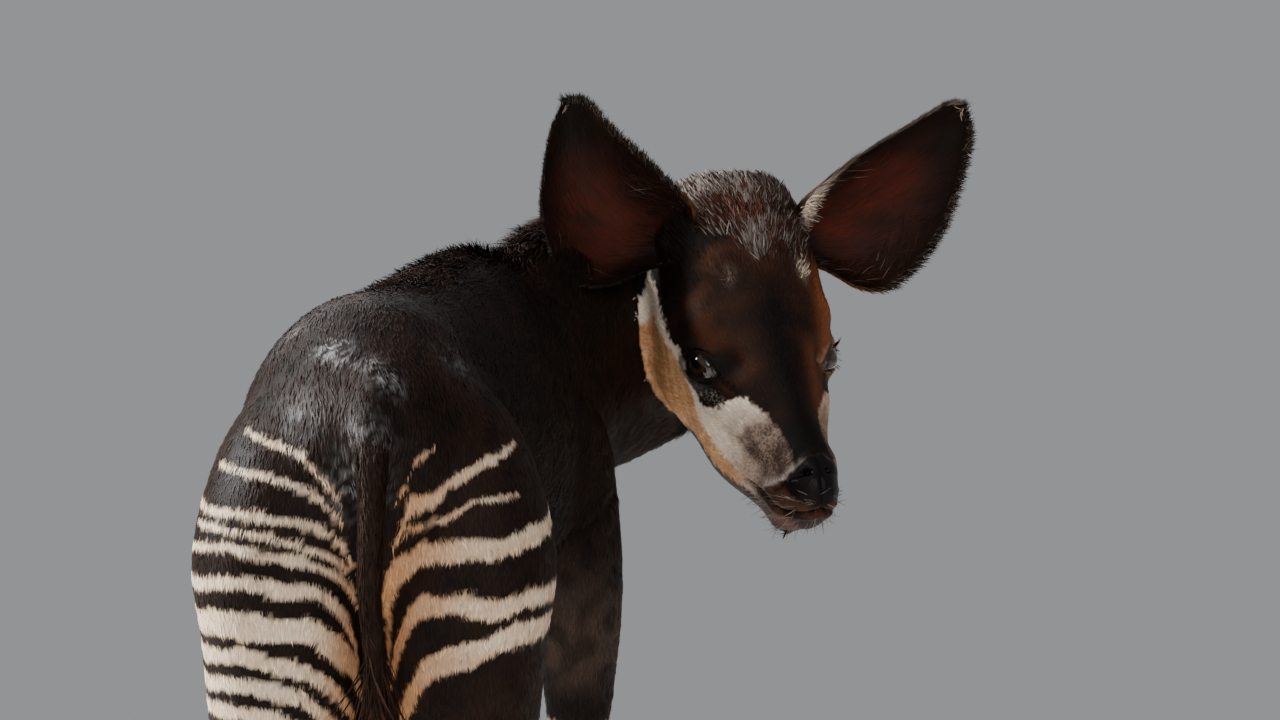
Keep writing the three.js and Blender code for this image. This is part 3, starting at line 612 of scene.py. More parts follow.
def lids(side):
    """Upper and lower lid as one ring: from a rounded margin on the ball, out over it in a
    curve with a fold, and down under the skin round it."""
    centre, axes = eye_axes(side)
    rows, n = 92, 22
    q, r = grid(np.linspace(0, 2 * math.pi, rows, endpoint=False), np.linspace(0, 1, n))
    c, s = np.cos(q), np.sin(q)
    upper, front = ramp(s, -0.1, 0.3), ramp(c, 0.55, 1.0)
    x = powered(c, LID_ENDS) * (LID_HALF + 2.2 * front)
    y = powered(s, LID_BOW) * LID_LIFT * np.where(s > 0, 0.92, 0.94) - LID_SLANT * c
    inner = np.stack([x, y, np.sqrt(np.maximum((EYE_RADIUS - 0.4)**2 - x**2 - y**2, 1))], 1)
    ox, oy = c * LID_HALF * 2.05, s * LID_LIFT * 2.35
    mound = np.sqrt(np.maximum(1 - (ox / 31)**2 - (oy / 28)**2, 0.02))
    outer = np.stack([ox, oy, -9 + 20 * mound], 1)
    first = inner + np.stack([x * 0.02, y * 0.02, 1.5 + 0.9 * upper], 1)
    second = 0.45 * inner + 0.55 * outer + np.stack([0 * x, 0 * x, 2.4 + 0.8 * upper], 1)
    k = r[:, None]
    path = ((1 - k)**3 * inner + 3 * (1 - k)**2 * k * first + 3 * (1 - k) * k**2 * second
            + k**3 * outer)
    path[:, 2] -= bell(r - 0.3, 0.05) * (0.8 * upper + 0.3)
    path[:, 2] -= bell(r - 0.5, 0.05) * 0.35
    i, k = grid(np.arange(rows), np.arange(n - 1))
    a, b = i * n + k, ((i + 1) % rows) * n + k
    faces = halved(a, b, b + 1, a + 1)
    points = centre + path @ axes
    if not looks_along(points, faces, axes[2]):
        faces = faces[:, ::-1]
    return points, faces, r


def ear_surface(side, tip, opens, bow, s, t, depth):
    """A leaf rolled into a funnel: at a share s of its length an arc of the width that the
    table gives, at t from -1 to 1 round it, and depth from its inner face outwards."""
    root, axis, opening, outwards, length = ear_axes(side, tip, opens)
    at = np.interp(s, [0, 1], [0, len(EAR_SHEET) - 1])
    share, wide, curl, bulge = spline(EAR_SHEET, at).T
    curl = np.radians(curl)
    angle, radius = t * curl / 2, wide / curl
    reach = radius + depth
    return (root + axis * (length * share)[:, None]
            + outwards * (bow * bulge + reach * np.sin(angle))[:, None]
            + opening * (radius - reach * np.cos(angle) - EAR_BACK)[:, None])


def outer_depth(s, t):
    """Depth of an ear's outer face, where it is thinner towards the tip and the edges."""
    thin = (1 - 0.45 * np.abs(t)**3) * (1 - 0.4 * s)
    return EAR_INNER + (EAR_THICK - 2 * EAR_INNER) * thin


def ear_leaf(name):
    """Both faces of an ear as one closed sheet with a rounded rim, and the places along and
    round it of the points of one face."""
    rows, columns = 53, 37
    s, t = grid(np.linspace(0, 1, rows), np.linspace(-1, 1, columns))
    fold = 0.9 * bell(np.abs(t) - 0.5, 0.1) * ramp(s, 0.05, 0.2) * (1 - ramp(s, 0.5, 0.8))
    front = ear_surface(*EARS[name], s, t * EAR_SPREAD, EAR_INNER + fold * 0.6)
    back = ear_surface(*EARS[name], s, t * EAR_SPREAD, outer_depth(s, t))
    i, j = grid(np.arange(rows - 1), np.arange(columns - 1))
    a = i * columns + j
    sheet = halved(a, a + 1, a + columns + 1, a + columns)
    rim = np.concatenate([np.arange(columns), columns * np.arange(1, rows) + columns - 1,
                          columns * (rows - 1) + np.arange(columns - 2, -1, -1),
                          columns * np.arange(rows - 2, 0, -1)])
    after = np.roll(rim, -1)
    n = len(front)
    faces = np.vstack([sheet, sheet[:, ::-1] + n, halved(after, rim, rim + n, after + n)])
    _, _, opening, _, _ = ear_axes(*EARS[name][:3])
    if not looks_along(front, sheet, opening):
        faces = faces[:, ::-1]
    return np.vstack([front, back]), faces, s, t


def in_box(points, rear, wide, low, high=math.inf):
    """Whether points lie in a box that reaches past the nose: in front of rear, within wide of
    the head's middle plane, and between low and high up the head."""
    s, u, v = in_head(points)
    return (s > rear) & (s < HEAD_END) & (np.abs(u) < wide) & (v > low) & (v < high)


def skin_mesh():
    """Body, neck, legs and head fused into one surface, softened, and made fine on the head."""
    parts = [PATHS[name].tube(40, 4, -BODY_COAT) for name in ("torso", "neck")]
    parts.append(PATHS["head"].tube(56, 5, -FACE_COAT))
    for name in ("hind_right", "hind_left", "fore_right", "fore_left"):
        path = PATHS[name]
        path = Path(path.middles, path.sizes, path.reference)
        high = held((path.middles[:, 2] - 380) / 200)
        path.sizes[:, :4] -= (LEG_COAT + (BODY_COAT - LEG_COAT) * high)[:, None]
        parts.append(path.tube(40, 4))
    for side in (1, -1):
        centre, axes = eye_axes(side)
        parts.append(ball(centre - axes[2] * EYE_BED_DEEP, axes, EYE_BED))
    parts += [ear_stem(*ear) for ear in EARS.values()]
    parts.append(ball(head_point(*JAW_FILL[0]), HEAD_AXES, JAW_FILL[1]))
    parts.append(ball(np.array(THIGH_FILL[0]), np.eye(3), THIGH_FILL[1]))
    parts.append(Path([r[:3] for r in TAIL_ROOT], [(r, r, r, r, 2, 2) for *_, r in TAIL_ROOT],
                      (0, -1, 0.25)).tube(24, 3))
    points, faces = fused(parts, SKIN_VOXEL)
    in_face = in_box(points, 95, 90, -115, 120)
    thin_leg = 1 - ramp(points[:, 2], 380, 520)
    weight = 1 - 0.7 * in_face - 0.4 * thin_leg * ~in_face
    points = relaxed(points, faces, weight, 14)
    points, faces = refined(points, faces, in_box(points, -40, 95, -118, 125))
    points = relaxed(points, faces, in_box(points, -46, 95, -118) * 0.8, 5)
    s, u, v = in_head(points)
    eye_near = np.hypot(s - EYE_ALONG - 4, (v - EYE_RISE) * 1.1) < 40
    detail = (s > 198) | (eye_near & (np.abs(u) > 34))
    points, faces = refined(points, faces, detail & in_box(points, -40, 90, -95))
    points = relaxed(points, faces, in_box(points, 60, math.inf, -100) * 0.7, 3)
    return faced(points, faces), faces


# Places on the body: which path a point lies round, where along it, and the lie of the hair


PATH_STEPS = 96  # places along a path at which its nearest place and its length are taken


def about(path, points):
    """Place along a path in spans, angle round it and share of the section's size, for points."""
    t = np.linspace(0, path.spans, PATH_STEPS)
    middles, ahead, _, _, _ = path.frame(t)
    near = np.argmin((middles**2).sum(1)[None] - 2 * points @ middles.T, 1)
    step = path.spans / (PATH_STEPS - 1)
    speed = np.linalg.norm(np.gradient(middles, axis=0), axis=1) / step
    slip = dot(points - middles[near], ahead[near]) / speed[near]
    t = np.clip(t[near] + slip, 0, path.spans)
    middle, ahead, top, side, size = path.frame(t)
    q = points - middle
    x, y = dot(q, side), dot(q, top)
    x = x / np.where(x > 0, size[:, 0], size[:, 1])
    y = y / np.where(y > 0, size[:, 2], size[:, 3])
    beyond = np.abs(dot(q, ahead)) / 60
    return t, np.arctan2(y, x), np.hypot(x, y) + beyond, ahead


def length_to(path, t):
    """Length in millimetres from the start of a path to places along it."""
    steps = np.linspace(0, path.spans, PATH_STEPS)
    stretches = np.diff(path.frame(steps)[0], axis=0)
    lengths = np.concatenate([[0], np.cumsum(np.linalg.norm(stretches, axis=1))])
    return np.interp(t, steps, lengths)


REGIONS = ["torso", "neck", "head", "hind_right", "hind_left", "fore_right", "fore_left"]


def regions_of(points):
    """The region that each point belongs to, and the lie of its hair: a mean of each region's
    own, weighted by exp(-12 level), where level is how far out of that region it lies."""
    levels, lies = [], []
    outside = np.abs(points[:, 0]) / 100
    for name in REGIONS:
        t, angle, level, ahead = about(PATHS[name], points)
        if name == "torso":
            flank = np.abs(np.cos(angle))
            lie = -ahead + (0, 0, -1) * (0.25 + 0.45 * flank)[:, None]
            rump = ramp(-points[:, 1], 190, 270)[:, None]
            lie = lie * (1 - rump) + rump * np.array([0, -0.35, -1])
            level = level + 0.1 * ramp(t, 10.5, 12)
        elif name == "neck":
            lie = -ahead + (0, 0, -1) * (0.15 + 0.4 * np.abs(np.cos(angle)))[:, None]
        elif name == "head":
            _, u, v = in_head(points)
            lie = (-ALONG + np.multiply.outer(np.sign(u) * 0.18, ACROSS)
                   - np.multiply.outer(0.35 * ramp(-v, -40, 30), RISE))
            level = level - 0.12
        elif name.startswith("hind"):
            lie = ahead + (0, -0.3, 0) * (ramp(points[:, 2], 560, 700) * outside)[:, None]
        else:
            lie = ahead
            level = level + 0.25 * ramp(points[:, 2], 560, 700)
        levels.append(level)
        lies.append(unit(lie))
    levels = np.array(levels)
    share = np.exp(-12 * (levels - levels.min(0)))
    lie = (np.array(lies) * share[:, :, None]).sum(0)
    return levels.argmin(0), unit(lie)


def flat_map(path, points):
    """Unwrap of a path's surface: angle round it over 2 pi, and length along it over a metre."""
    t, angle, _, _ = about(path, points)
    return np.stack([angle / (2 * math.pi) + 0.5, length_to(path, t) / 1000 + 0.02], 1)


# Colours


def srgb(*codes):
    """Linear colour from the usual 0 to 255 codes."""
    c = np.array(codes, float) / 255
    return np.where(c <= 0.04045, c / 12.92, ((c + 0.055) / 1.055)**2.4)


DARK = srgb(15, 10, 8)
BLACKISH = srgb(9, 7, 6)
BROWN = srgb(66, 38, 25)
CHESTNUT = srgb(98, 54, 33)
CREAM = srgb(234, 213, 186)
TAN = srgb(200, 140, 90)
GREY = srgb(176, 160, 144)
SMOKE = srgb(118, 96, 82)
# Tones that belong to one place each
# The rust is mostly painted warm sunlight on the left side of the face, with a faint own tone on
# the right
RUST_AND_SUNLIGHT, LID_EDGE = srgb(138, 76, 42), srgb(24, 16, 14)
CHEEK_WHITE, CHEEK_SHADE = srgb(252, 232, 210), srgb(176, 146, 124)
# The left cheek's tan is painted warm light over a white cheek
CHEEK_EDGE, SUNLIT_LEFT_CHEEK = srgb(146, 92, 54), srgb(150, 104, 70)
GOLD, PALE_GOLD = srgb(184, 120, 68), srgb(232, 184, 134)
MUZZLE_ROSE, MUZZLE_FUZZ = srgb(196, 168, 148), srgb(66, 47, 40)
NOSE_PAD, SNOUT = srgb(21, 17, 18), srgb(78, 48, 35)
NOSTRIL_SILVER, NOSTRIL_RING = srgb(206, 198, 190), srgb(196, 184, 172)
# The nostrils' near-black is painted shade; the mouth line is dark lip edge with painted shade in
# its crease
NOSTRIL_SHADE, MOUTH_LINE_AND_SHADE = srgb(12, 8, 8), srgb(20, 12, 10)
# The left eye's pale rim is painted light on the lids
LOWER_LIP, LIT_LEFT_EYE_RIM = srgb(84, 46, 31), srgb(168, 136, 112)
EAR_GLOW, EAR_GREY = srgb(108, 38, 21), srgb(128, 112, 100)
# The second tone here is a painted highlight, the grey of glints on the rump's glossy coat
EAR_TAN, GLINT_GREY = srgb(170, 100, 56), srgb(158, 154, 154)
# The crown's silver is partly grizzled hair and partly painted glints
CROWN_RED, CROWN_GRIZZLE_AND_GLINT = srgb(112, 50, 34), srgb(190, 182, 174)

# Haunch stripes: degrees round the haunch from straight back, outwards above zero, and height,
# from the outer end to the inner one, then half-thickness at the inner and outer end.
LEFT_STRIPES = [
    ([(24, 742), (11, 736), (-7, 727), (-11, 723), (-21, 699), (-26, 684)], 2.6, 1.2),
    ([(44, 716), (34, 714), (9, 709), (-5, 703), (-17, 692), (-27, 670)], 3.4, 1.8),
    ([(110, 694), (60, 684), (34, 681), (15, 679), (-3, 675), (-17, 669), (-27, 656),
      (-34, 634)], 3.2, 3),
    ([(60, 672), (34, 669), (15, 666), (1, 661), (-12, 654), (-27, 644), (-36, 618)], 2.2, 2),
    ([(135, 668), (79, 652), (22, 655), (7, 649), (-10, 645), (-27, 632), (-40, 606)], 3.2, 3.6),
    ([(110, 632), (49, 625), (14, 628), (-3, 623), (-16, 621), (-28, 606), (-41, 580),
      (-48, 562)], 5, 4.5),
    ([(150, 618), (90, 602), (46, 596), (18, 596), (1, 592), (-13, 592), (-26, 579), (-41, 563),
      (-54, 538)], 10, 9),
    ([(120, 584), (50, 572), (16, 572), (1, 565), (-14, 560), (-29, 545), (-47, 523)], 6.5, 6),
    ([(180, 566), (100, 556), (52, 550), (17, 550), (1, 545), (-12, 541), (-26, 525),
      (-50, 500)], 5.5, 5.5),
    ([(130, 538), (54, 530), (18, 529), (1, 524), (-20, 512), (-45, 492)], 6, 5),
    ([(180, 518), (90, 508), (30, 503), (0, 497), (-30, 484), (-60, 470)], 7, 7),
    ([(180, 486), (90, 476), (0, 464), (-40, 456), (-80, 452)], 6, 7),
    ([(180, 452), (90, 444), (0, 434), (-60, 428), (-180, 432)], 6, 6),
    ([(180, 422), (90, 414), (0, 405), (-60, 402), (-180, 408)], 5, 5),
]
RIGHT_STRIPES = [
    ([(-14, 732), (-22, 719), (-25, 702), (-30, 684)], 1.8, 1.0),
    ([(34, 733), (30, 731), (8, 718), (-1, 711), (-10, 701), (-17, 689), (-24, 687), (-27, 671),
      (-32, 650)], 6, 2.2),
    ([(26, 694), (18, 692), (1, 689), (-11, 675), (-25, 668), (-29, 658)], 1.6, 0.9),
    ([(100, 684), (65, 674), (29, 662), (12, 654), (-8, 652), (-22, 647), (-32, 636), (-41, 611),
      (-47, 580), (-56, 540)], 9.5, 5),
    ([(130, 634), (59, 619), (24, 615), (10, 607), (-8, 611), (-21, 611), (-30, 594), (-39, 575),
      (-47, 551), (-54, 520)], 8.5, 5),
    ([(150, 606), (90, 600), (44, 594), (21, 589), (6, 577), (-9, 570), (-24, 557), (-32, 540),
      (-40, 524), (-52, 486)], 10.5, 6),
    ([(130, 516), (90, 510), (44, 505), (0, 494), (-24, 484), (-40, 468), (-54, 450)], 7, 7),
    ([(180, 486), (90, 476), (30, 468), (0, 459), (-60, 440)], 6, 7),
    ([(180, 446), (90, 438), (0, 428), (-60, 420), (-180, 424)], 6, 6),
    ([(180, 414), (90, 408), (0, 399), (-60, 395), (-180, 400)], 5, 5),
]
HIND_MIDDLES = np.array([r[:3] for r in HIND_LEG], float)


def stripes(points, side):
    """How far inside a haunch stripe each point lies, and how far towards the tail: one for the
    middle of a stripe, zero outside, with edges worn ragged by ripples along the hair."""
    z = points[:, 2]
    order = np.argsort(HIND_MIDDLES[:, 2])
    level = np.minimum(z, 560)
    middle_x = np.interp(level, HIND_MIDDLES[order, 2], HIND_MIDDLES[order, 0])
    middle_y = np.interp(level, HIND_MIDDLES[order, 2], HIND_MIDDLES[order, 1])
    phi = np.degrees(np.arctan2(side * points[:, 0] - middle_x, -(points[:, 1] - middle_y)))
    stretched = points * (1, 1, 0.35)
    wear = 1.5 * ripple(stretched, 9, 5 + side) + 0.5 * ripple(stretched, 4, 7 + side)
    wave = 1.6 * ripple(points, 34, 9 + side)
    found = np.zeros(len(points))
    for route, inner, outer in (RIGHT_STRIPES if side > 0 else LEFT_STRIPES):
        route = np.array(route, float)[::-1]
        first, last = route[0, 0], route[-1, 0]
        centre = np.interp(phi, route[:, 0], route[:, 1])
        share = held((phi - first) / (last - first))
        half = inner + (outer - inner) * share
        half = half + wave * np.clip(half / 5, 0.1, 1)
        if last < 179:
            half = half * np.sqrt(held((last - phi) / (0.3 * (last - first))))
        if first > -179:
            half = half * np.sqrt(held((phi - first) / 8))
        worn = wear * held(half / 4)
        half = half + 0.6 * bell(half, 2) * (half > 0.3)
        inside = ramp(half + worn - np.abs(z - centre), -0.8, 0.8) * (half > 0.3)
        found = np.maximum(found, inside)
    # Share towards the tail, starting sooner on the right haunch, whose tan there is partly painted
    # shade
    towards_tail = ramp(-phi, -16, 40) if side > 0 else ramp(-phi, 8, 40)
    return found, towards_tail


def over(base, colour, share):
    """Paints a colour over another by a share at each point."""
    return base + (colour - base) * np.asarray(share)[..., None]


def leg_colours(points, base, hind, side):
    """Pale lower legs with dark bands at the joints, and rings above the knee."""
    z = points[:, 2]
    path = PATHS[("hind_" if hind else "fore_") + ("right" if side > 0 else "left")]
    _, angle, _, _ = about(path, points)
    wear = 2.6 * ripple(points * (1, 1, 0.3), 8, 21) + 1.5 * ripple(points * (1, 1, 0.3), 4, 22)
    h = z + wear
    front = ramp(np.sin(angle), 0.72, 0.92)
    pale = over(CREAM, TAN, 0.25 + 0.2 * ripple(points, 40, 23))
    if hind:
        colour = over(base, pale, 1 - ramp(h, 378, 384))
        colour = over(colour, DARK, ramp(h, 306, 310) * (1 - ramp(h, 322, 340)) * front)
        colour = over(colour, DARK, front * ramp(h, 96, 110) * (1 - ramp(h, 225, 262)) * 0.55)
    else:
        found = np.zeros(len(points))
        for level, half, tilt in ((484, 4, 4), (462, 5, 4), (440, 5.5, 3), (418, 5, 2)):
            middle = level + tilt * np.sin(angle * 2 + level)
            reach = half * (1 - ramp(np.sin(angle), 0.2, 0.95) * 0.6 * (level > 450))
            found = np.maximum(found, ramp(reach + wear * 0.8 - np.abs(z - middle), -0.8, 0.8))
        colour = over(base, pale, found)
        colour = over(colour, pale, 1 - ramp(h, 398, 404))
        knee = ramp(h, 284, 300) * (1 - ramp(h, 352, 362))
        colour = over(colour, DARK, knee * ramp(np.sin(angle), -0.5, 0.1))
        colour = over(colour, DARK, front * ramp(h, 96, 104) * (1 - ramp(h, 300, 306)))
    band = ramp(h, 66, 70) * (1 - ramp(h, 92, 98))
    colour = over(colour, DARK, band)
    return over(colour, BROWN, 1 - ramp(h, 44, 49))


# Upper edge of the pale cheek as degrees round the head above its widest line, by place along,
# and its rear edge as a place along by the same angle.
CHEEK_TOP = np.array([
    (14, 8), (30, 12), (46, 13.5), (66, 13), (83, 12.5), (98, 9.5), (112, 12.4), (122, 10),
    (130, 4.5), (136, -1), (143, -6), (150, -4), (156, 1.9), (164, 17.7), (168, 32), (174, 42),
    (183, 47), (195, 56), (209, 62), (219, 64), (232, 66), (244, 60)])
CHEEK_REAR = np.array([(-90, 92), (-79, 78), (-52, 70), (-19, 50), (3, 30), (12, 20), (40, 14)])


def face_colours(points):
    """The mask of the face: dark blaze and brow, chestnut temples and crown, white cheeks with a
    golden rear edge, grizzled muzzle sides, tear streak, nostril edges and bare nose, with painted
    warm light on the left side and painted shade at the ear roots, in the nostrils and the mouth's
    crease."""
    s, u, v = in_head(points)
    table = np.array(HEAD, float)
    level = np.interp(s, table[:, 0], table[:, 1])
    angle = np.degrees(np.arctan2(v - level, np.abs(u)))
    wear = 1.5 * ripple(points, 7, 31) + 0.9 * ripple(points, 3.5, 32)
    soft = ripple(points, 30, 33)
    grizzle = speckle(points)
    across = np.abs(u)
    folded = np.stack([s, across, v], 1)
    # Brown brow and temples, chestnut beside the blaze and on the crown; on the left side the
    # strong chestnut and rust are painted warm sunlight
    blaze = bell(u - 2, 15) * ramp(s, 90, 118)
    warm = ramp(angle, 8, 30) * ramp(s, 60, 110) * (1 - ramp(s, 196, 214))
    colour = over(DARK, BROWN, warm * held(0.36 + 0.25 * soft))
    beside = bell(across - 27, 9) * ramp(s, 128, 152) * (1 - ramp(s, 190, 206))
    # The left side's strong share is painted sunlight; the right side keeps a faint own tone
    strength = 0.04 + 0.8 * ramp(-u, 5, 20)
    colour = over(colour, CHESTNUT, held(beside * (strength + 0.12 * soft)))
    edge = bell(across - 54, 12) * ramp(s, 40, 100) * (1 - ramp(s, 150, 175)) * (v > 14)
    colour = over(colour, RUST_AND_SUNLIGHT, held(edge * (strength + 0.15 * soft)))
    colour = over(colour, BLACKISH, held(blaze * 0.95) * (v > level))
    crown = ramp(v, 48, 78) * (1 - ramp(s, 62, 100))
    colour = over(colour, CHESTNUT, crown * held(0.2 + 0.4 * soft))
    tuft = np.exp(-((s - 63) / 13)**2 - ((u - 5) / 11)**2) * (v > 40)
    colour = over(colour, CHESTNUT, tuft * 0.55)
    colour = over(colour, GREY, tuft * ramp(grizzle, 0.2, 0.8) * 0.5)
    # White cheek, tan towards its rear edge, dark again under the jaw, and tan on the left side as
    # painted warm light
    top = np.interp(s, CHEEK_TOP[:, 0], CHEEK_TOP[:, 1]) + wear * 1.2
    rear = np.interp(angle, CHEEK_REAR[:, 0], CHEEK_REAR[:, 1]) + wear * 1.5
    under = 45 + 34 * (1 - ramp(s, 92, 132)) + wear * 2
    cheek = ramp(top - angle, -1.5, 2.5) * ramp(s - rear, -2.5, 3)
    cheek = cheek * (1 - ramp(-angle, under, under + 7))
    white = over(CHEEK_WHITE, CHEEK_SHADE, held(0.05 + 0.2 * soft))
    muzzle = ramp(s + 7 * soft, 168, 202)
    rosy = over(MUZZLE_ROSE, SMOKE, held(0.35 + 0.45 * grizzle + 0.3 * soft))
    white = over(white, rosy, muzzle * 0.9)
    patchy = ripple(points, 15, 37)
    ring = distance_to(folded, NOSTRIL_EDGE)
    fuzz = ramp(s - 0.25 * (v - 6) + 9 * patchy, 186, 210)
    fuzz = fuzz * (1 - ramp(-v, 8, 20) * (1 - ramp(s, 212, 228)))
    white = over(white, MUZZLE_FUZZ, held(fuzz * (0.86 + 0.2 * grizzle + 0.3 * soft)))
    crescent = bell(ring - 3.5 - 1.5 * patchy, 2.8) * ramp(across, 6, 14)
    white = over(white, NOSTRIL_SILVER, held(crescent * (0.45 + 0.6 * grizzle)))
    edge = np.interp(s, [20, 46, 62, 110, 128, 145, 170, 215],
                     [-50, -24, 2, 3, -6, -28, -34, -38])
    golden = (1 - ramp(angle + wear * 1.5, edge - 3, edge + 3)) * (1 - ramp(s, 190, 216))
    bright = over(GOLD, PALE_GOLD,
                  held(0.4 + 0.3 * speckle(points * 0.31) + 0.4 * ripple(points, 12, 38)))
    white = over(white, bright, golden * 0.94)
    late = 1 - ramp(s - rear, 2, 20)
    white = over(white, CHEEK_EDGE, held(golden * late * (0.5 + 0.3 * soft)))
    # Painted warm light: the left cheek turns tan
    far = ramp(-u, 18, 30) * held(0.62 + 0.3 * ripple(points, 9, 39))
    white = over(white, SUNLIT_LEFT_CHEEK, far)
    colour = over(colour, white, cheek)
    # Tear streak, eye rim with a painted lit rim on the left eye, silver buds with a painted
    # highlight on the left one, and painted shade round the roots of the ears
    stem = np.sqrt((s - EAR_ROOT[0])**2 + (across - EAR_ROOT[1] - 6)**2 + (v - EAR_ROOT[2])**2)
    # Painted shade round the roots of the ears, where the ears shade the head
    colour = over(colour, DARK, (1 - ramp(stem, 30, 42)) * ramp(v - level, 16, 26))
    gland = distance_to(folded, np.array([(136, 64, 0), (147, 54, -1), (158, 49, 3)], float))
    line = distance_to(folded, np.array([(142, 54, 18), (156, 46, 20), (168, 40, 20)], float))
    colour = over(colour, BLACKISH, (1 - ramp(gland + wear * 1.6, 4.5, 9)) * 0.9)
    colour = over(colour, BLACKISH, (1 - ramp(line + wear, 2, 5)) * 0.9)
    colour = over(colour, GREY, (1 - ramp(gland, 4, 9)) * ramp(grizzle, 0.4, 0.9) * 0.55)
    q = np.hypot((s - EYE_ALONG - 2) / 1.1, (v - EYE_RISE))
    rim = (1 - ramp(q + wear, 15, 21)) * (across > 30)
    # Dark rim round the right eye; the left eye's pale rim is painted light on its lids
    colour = over(colour, BLACKISH, rim * np.where(u > 0, 0.75, 0))
    colour = over(colour, LIT_LEFT_EYE_RIM, rim * np.where(u < 0, 0.55, 0))
    bud = np.exp(-(((s - BUD_ALONG) / 6)**2 + ((across - BUD_SIDE) / 4.5)**2)) * (v > 40)
    # Grey buds; the left bud's extra paleness is a painted highlight
    colour = over(colour, GREY, held(bud * (0.25 + 0.35 * (u < 0)) * (1 + grizzle)))
    # Nose, nostril edges and lips, with painted shade in the nostrils and in the mouth's crease
    lip = mouth_level(s, u)
    fore = s - np.interp(v, [-24, -13, -4, 9, 17, 22], [232, 241.5, 247, 248, 244, 240])
    front = ramp(fore + wear * 0.5, -1.2, 1.2) * (v > lip)
    colour = over(colour, SNOUT, front)
    bare = front * ramp(v + wear, -9, -4) * (1 - ramp(v, 24, 28))
    lower = ramp(s, 216, 232) * (1 - ramp(v, lip - 3, lip))
    colour = over(colour, over(LOWER_LIP, DARK, held(0.5 + 0.6 * soft)), lower * 0.9)
    colour = over(colour, NOSE_PAD, bare)
    colour = over(colour, BLACKISH, bell(u, 2.0) * front * 0.7)
    pale_ring = bell(ring - 1.5 + 0.9 * wear, 3.0) * (1 - ramp(fore, 0, 2))
    pale_ring = pale_ring * ramp(across, 7, 15) * np.where(u > 0, 1, 0.5)
    colour = over(colour, NOSTRIL_RING, held(pale_ring * 0.6))
    hole = nostril_distance(s, u, v)
    inside = (1 - ramp(hole, 1.8, 4.8)) * (s > 225)
    # Painted shade inside the nostrils
    colour = over(colour, NOSTRIL_SHADE, inside)
    crease = bell(v - lip, 1.7) * ramp(s, 206, 216)
    # The mouth line: dark lip edge with painted shade in the crease
    colour = over(colour, MOUTH_LINE_AND_SHADE, crease * 0.9)
    bare = np.maximum(bare * (1 - pale_ring), inside)
    return colour, held(np.maximum(bare, crease))


# Painted glints of the rump, highlights of the glossy coat put into its colour: place, reach and
# strength
RUMP_GLINTS = [
    (-34, -222, 803, 15, 0.85), (-24, -236, 796, 11, 0.6), (10, -262, 777, 13, 0.7),
    (-4, -248, 788, 12, 0.4), (-52, -250, 752, 20, 0.3), (-8, -282, 735, 17, 0.6),
    (-14, -282, 700, 20, 0.6), (-64, -160, 812, 18, 0.3), (62, -196, 790, 16, 0.3),
]


def markings(points, region):
    """Coat colour and bareness of the skin at working points, by region, with painted light on the
    haunches.
    """
    # The brown tone varies at random; the extra brown on the right haunch is a painted sheen
    brown_and_sheen = 0.07 + 0.1 * ripple(points, 90, 41)
    brown_and_sheen = brown_and_sheen + 0.16 * bell(points[:, 1] + 210, 60) * ramp(points[:, 0], 0, 50)
    base = over(DARK, BROWN, held(brown_and_sheen))
    belly = (1 - ramp(points[:, 2], 560, 640)) * (points[:, 1] > -90) * ramp(points[:, 2], 500, 540)
    base = over(base, SMOKE, belly * 0.28)
    base = over(base, BLACKISH, 0.6 * ramp(ripple(points, 26, 45), -0.1, 0.6))
    # Painted glints: pale grey patches that stand for highlights on the rump's glossy coat
    painted_glint = np.zeros(len(points))
    for *place, reach, strength in RUMP_GLINTS:
        away = np.linalg.norm(points - np.array(place), axis=1)
        painted_glint = np.maximum(painted_glint, strength * bell(away, reach))
    painted_glint = painted_glint * ramp(ripple(points, 6, 46) + 0.5 * ripple(points, 14, 47), -0.25, 0.55)
    base = over(base, GLINT_GREY, held(painted_glint))
    bare = np.zeros(len(points))
    near_haunch = (points[:, 1] < 0) & (points[:, 2] < 760) & (points[:, 2] > 376)
    for side in (1, -1):
        rows = near_haunch & (points[:, 0] * side > 2)
        if rows.any():
            found, tail = stripes(points[rows], side)
            # Cream turns tan towards the tail, partly the stripes' own buff and partly painted
            # shade; the right haunch's extra tan is painted shade
            stripe_tone_and_shade = over(CREAM, TAN, tail * (0.9 if side > 0 else 0.8))
            patch = 0.12 + (0.1 if side > 0 else 0) + 0.2 * ripple(points[rows], 25, 43)
            stripe_tone_and_shade = over(stripe_tone_and_shade, TAN, held(patch))
            base[rows] = over(base[rows], stripe_tone_and_shade, found)
    for k, name in enumerate(REGIONS):
        rows = region == k
        if name == "head" and rows.any():
            face, wet = face_colours(points[rows])
            s, _, _ = in_head(points[rows])
            base[rows], bare[rows] = over(base[rows], face, ramp(s, -6, 14)), wet
        elif name[:4] in ("hind", "fore") and rows.any():
            hind, side = name[0] == "h", 1 if name.endswith("right") else -1
            low = rows & (points[:, 2] < (384 if hind else 620))
            if low.any():
                base[low] = leg_colours(points[low], base[low], hind, side)
    return base, bare


# Hair


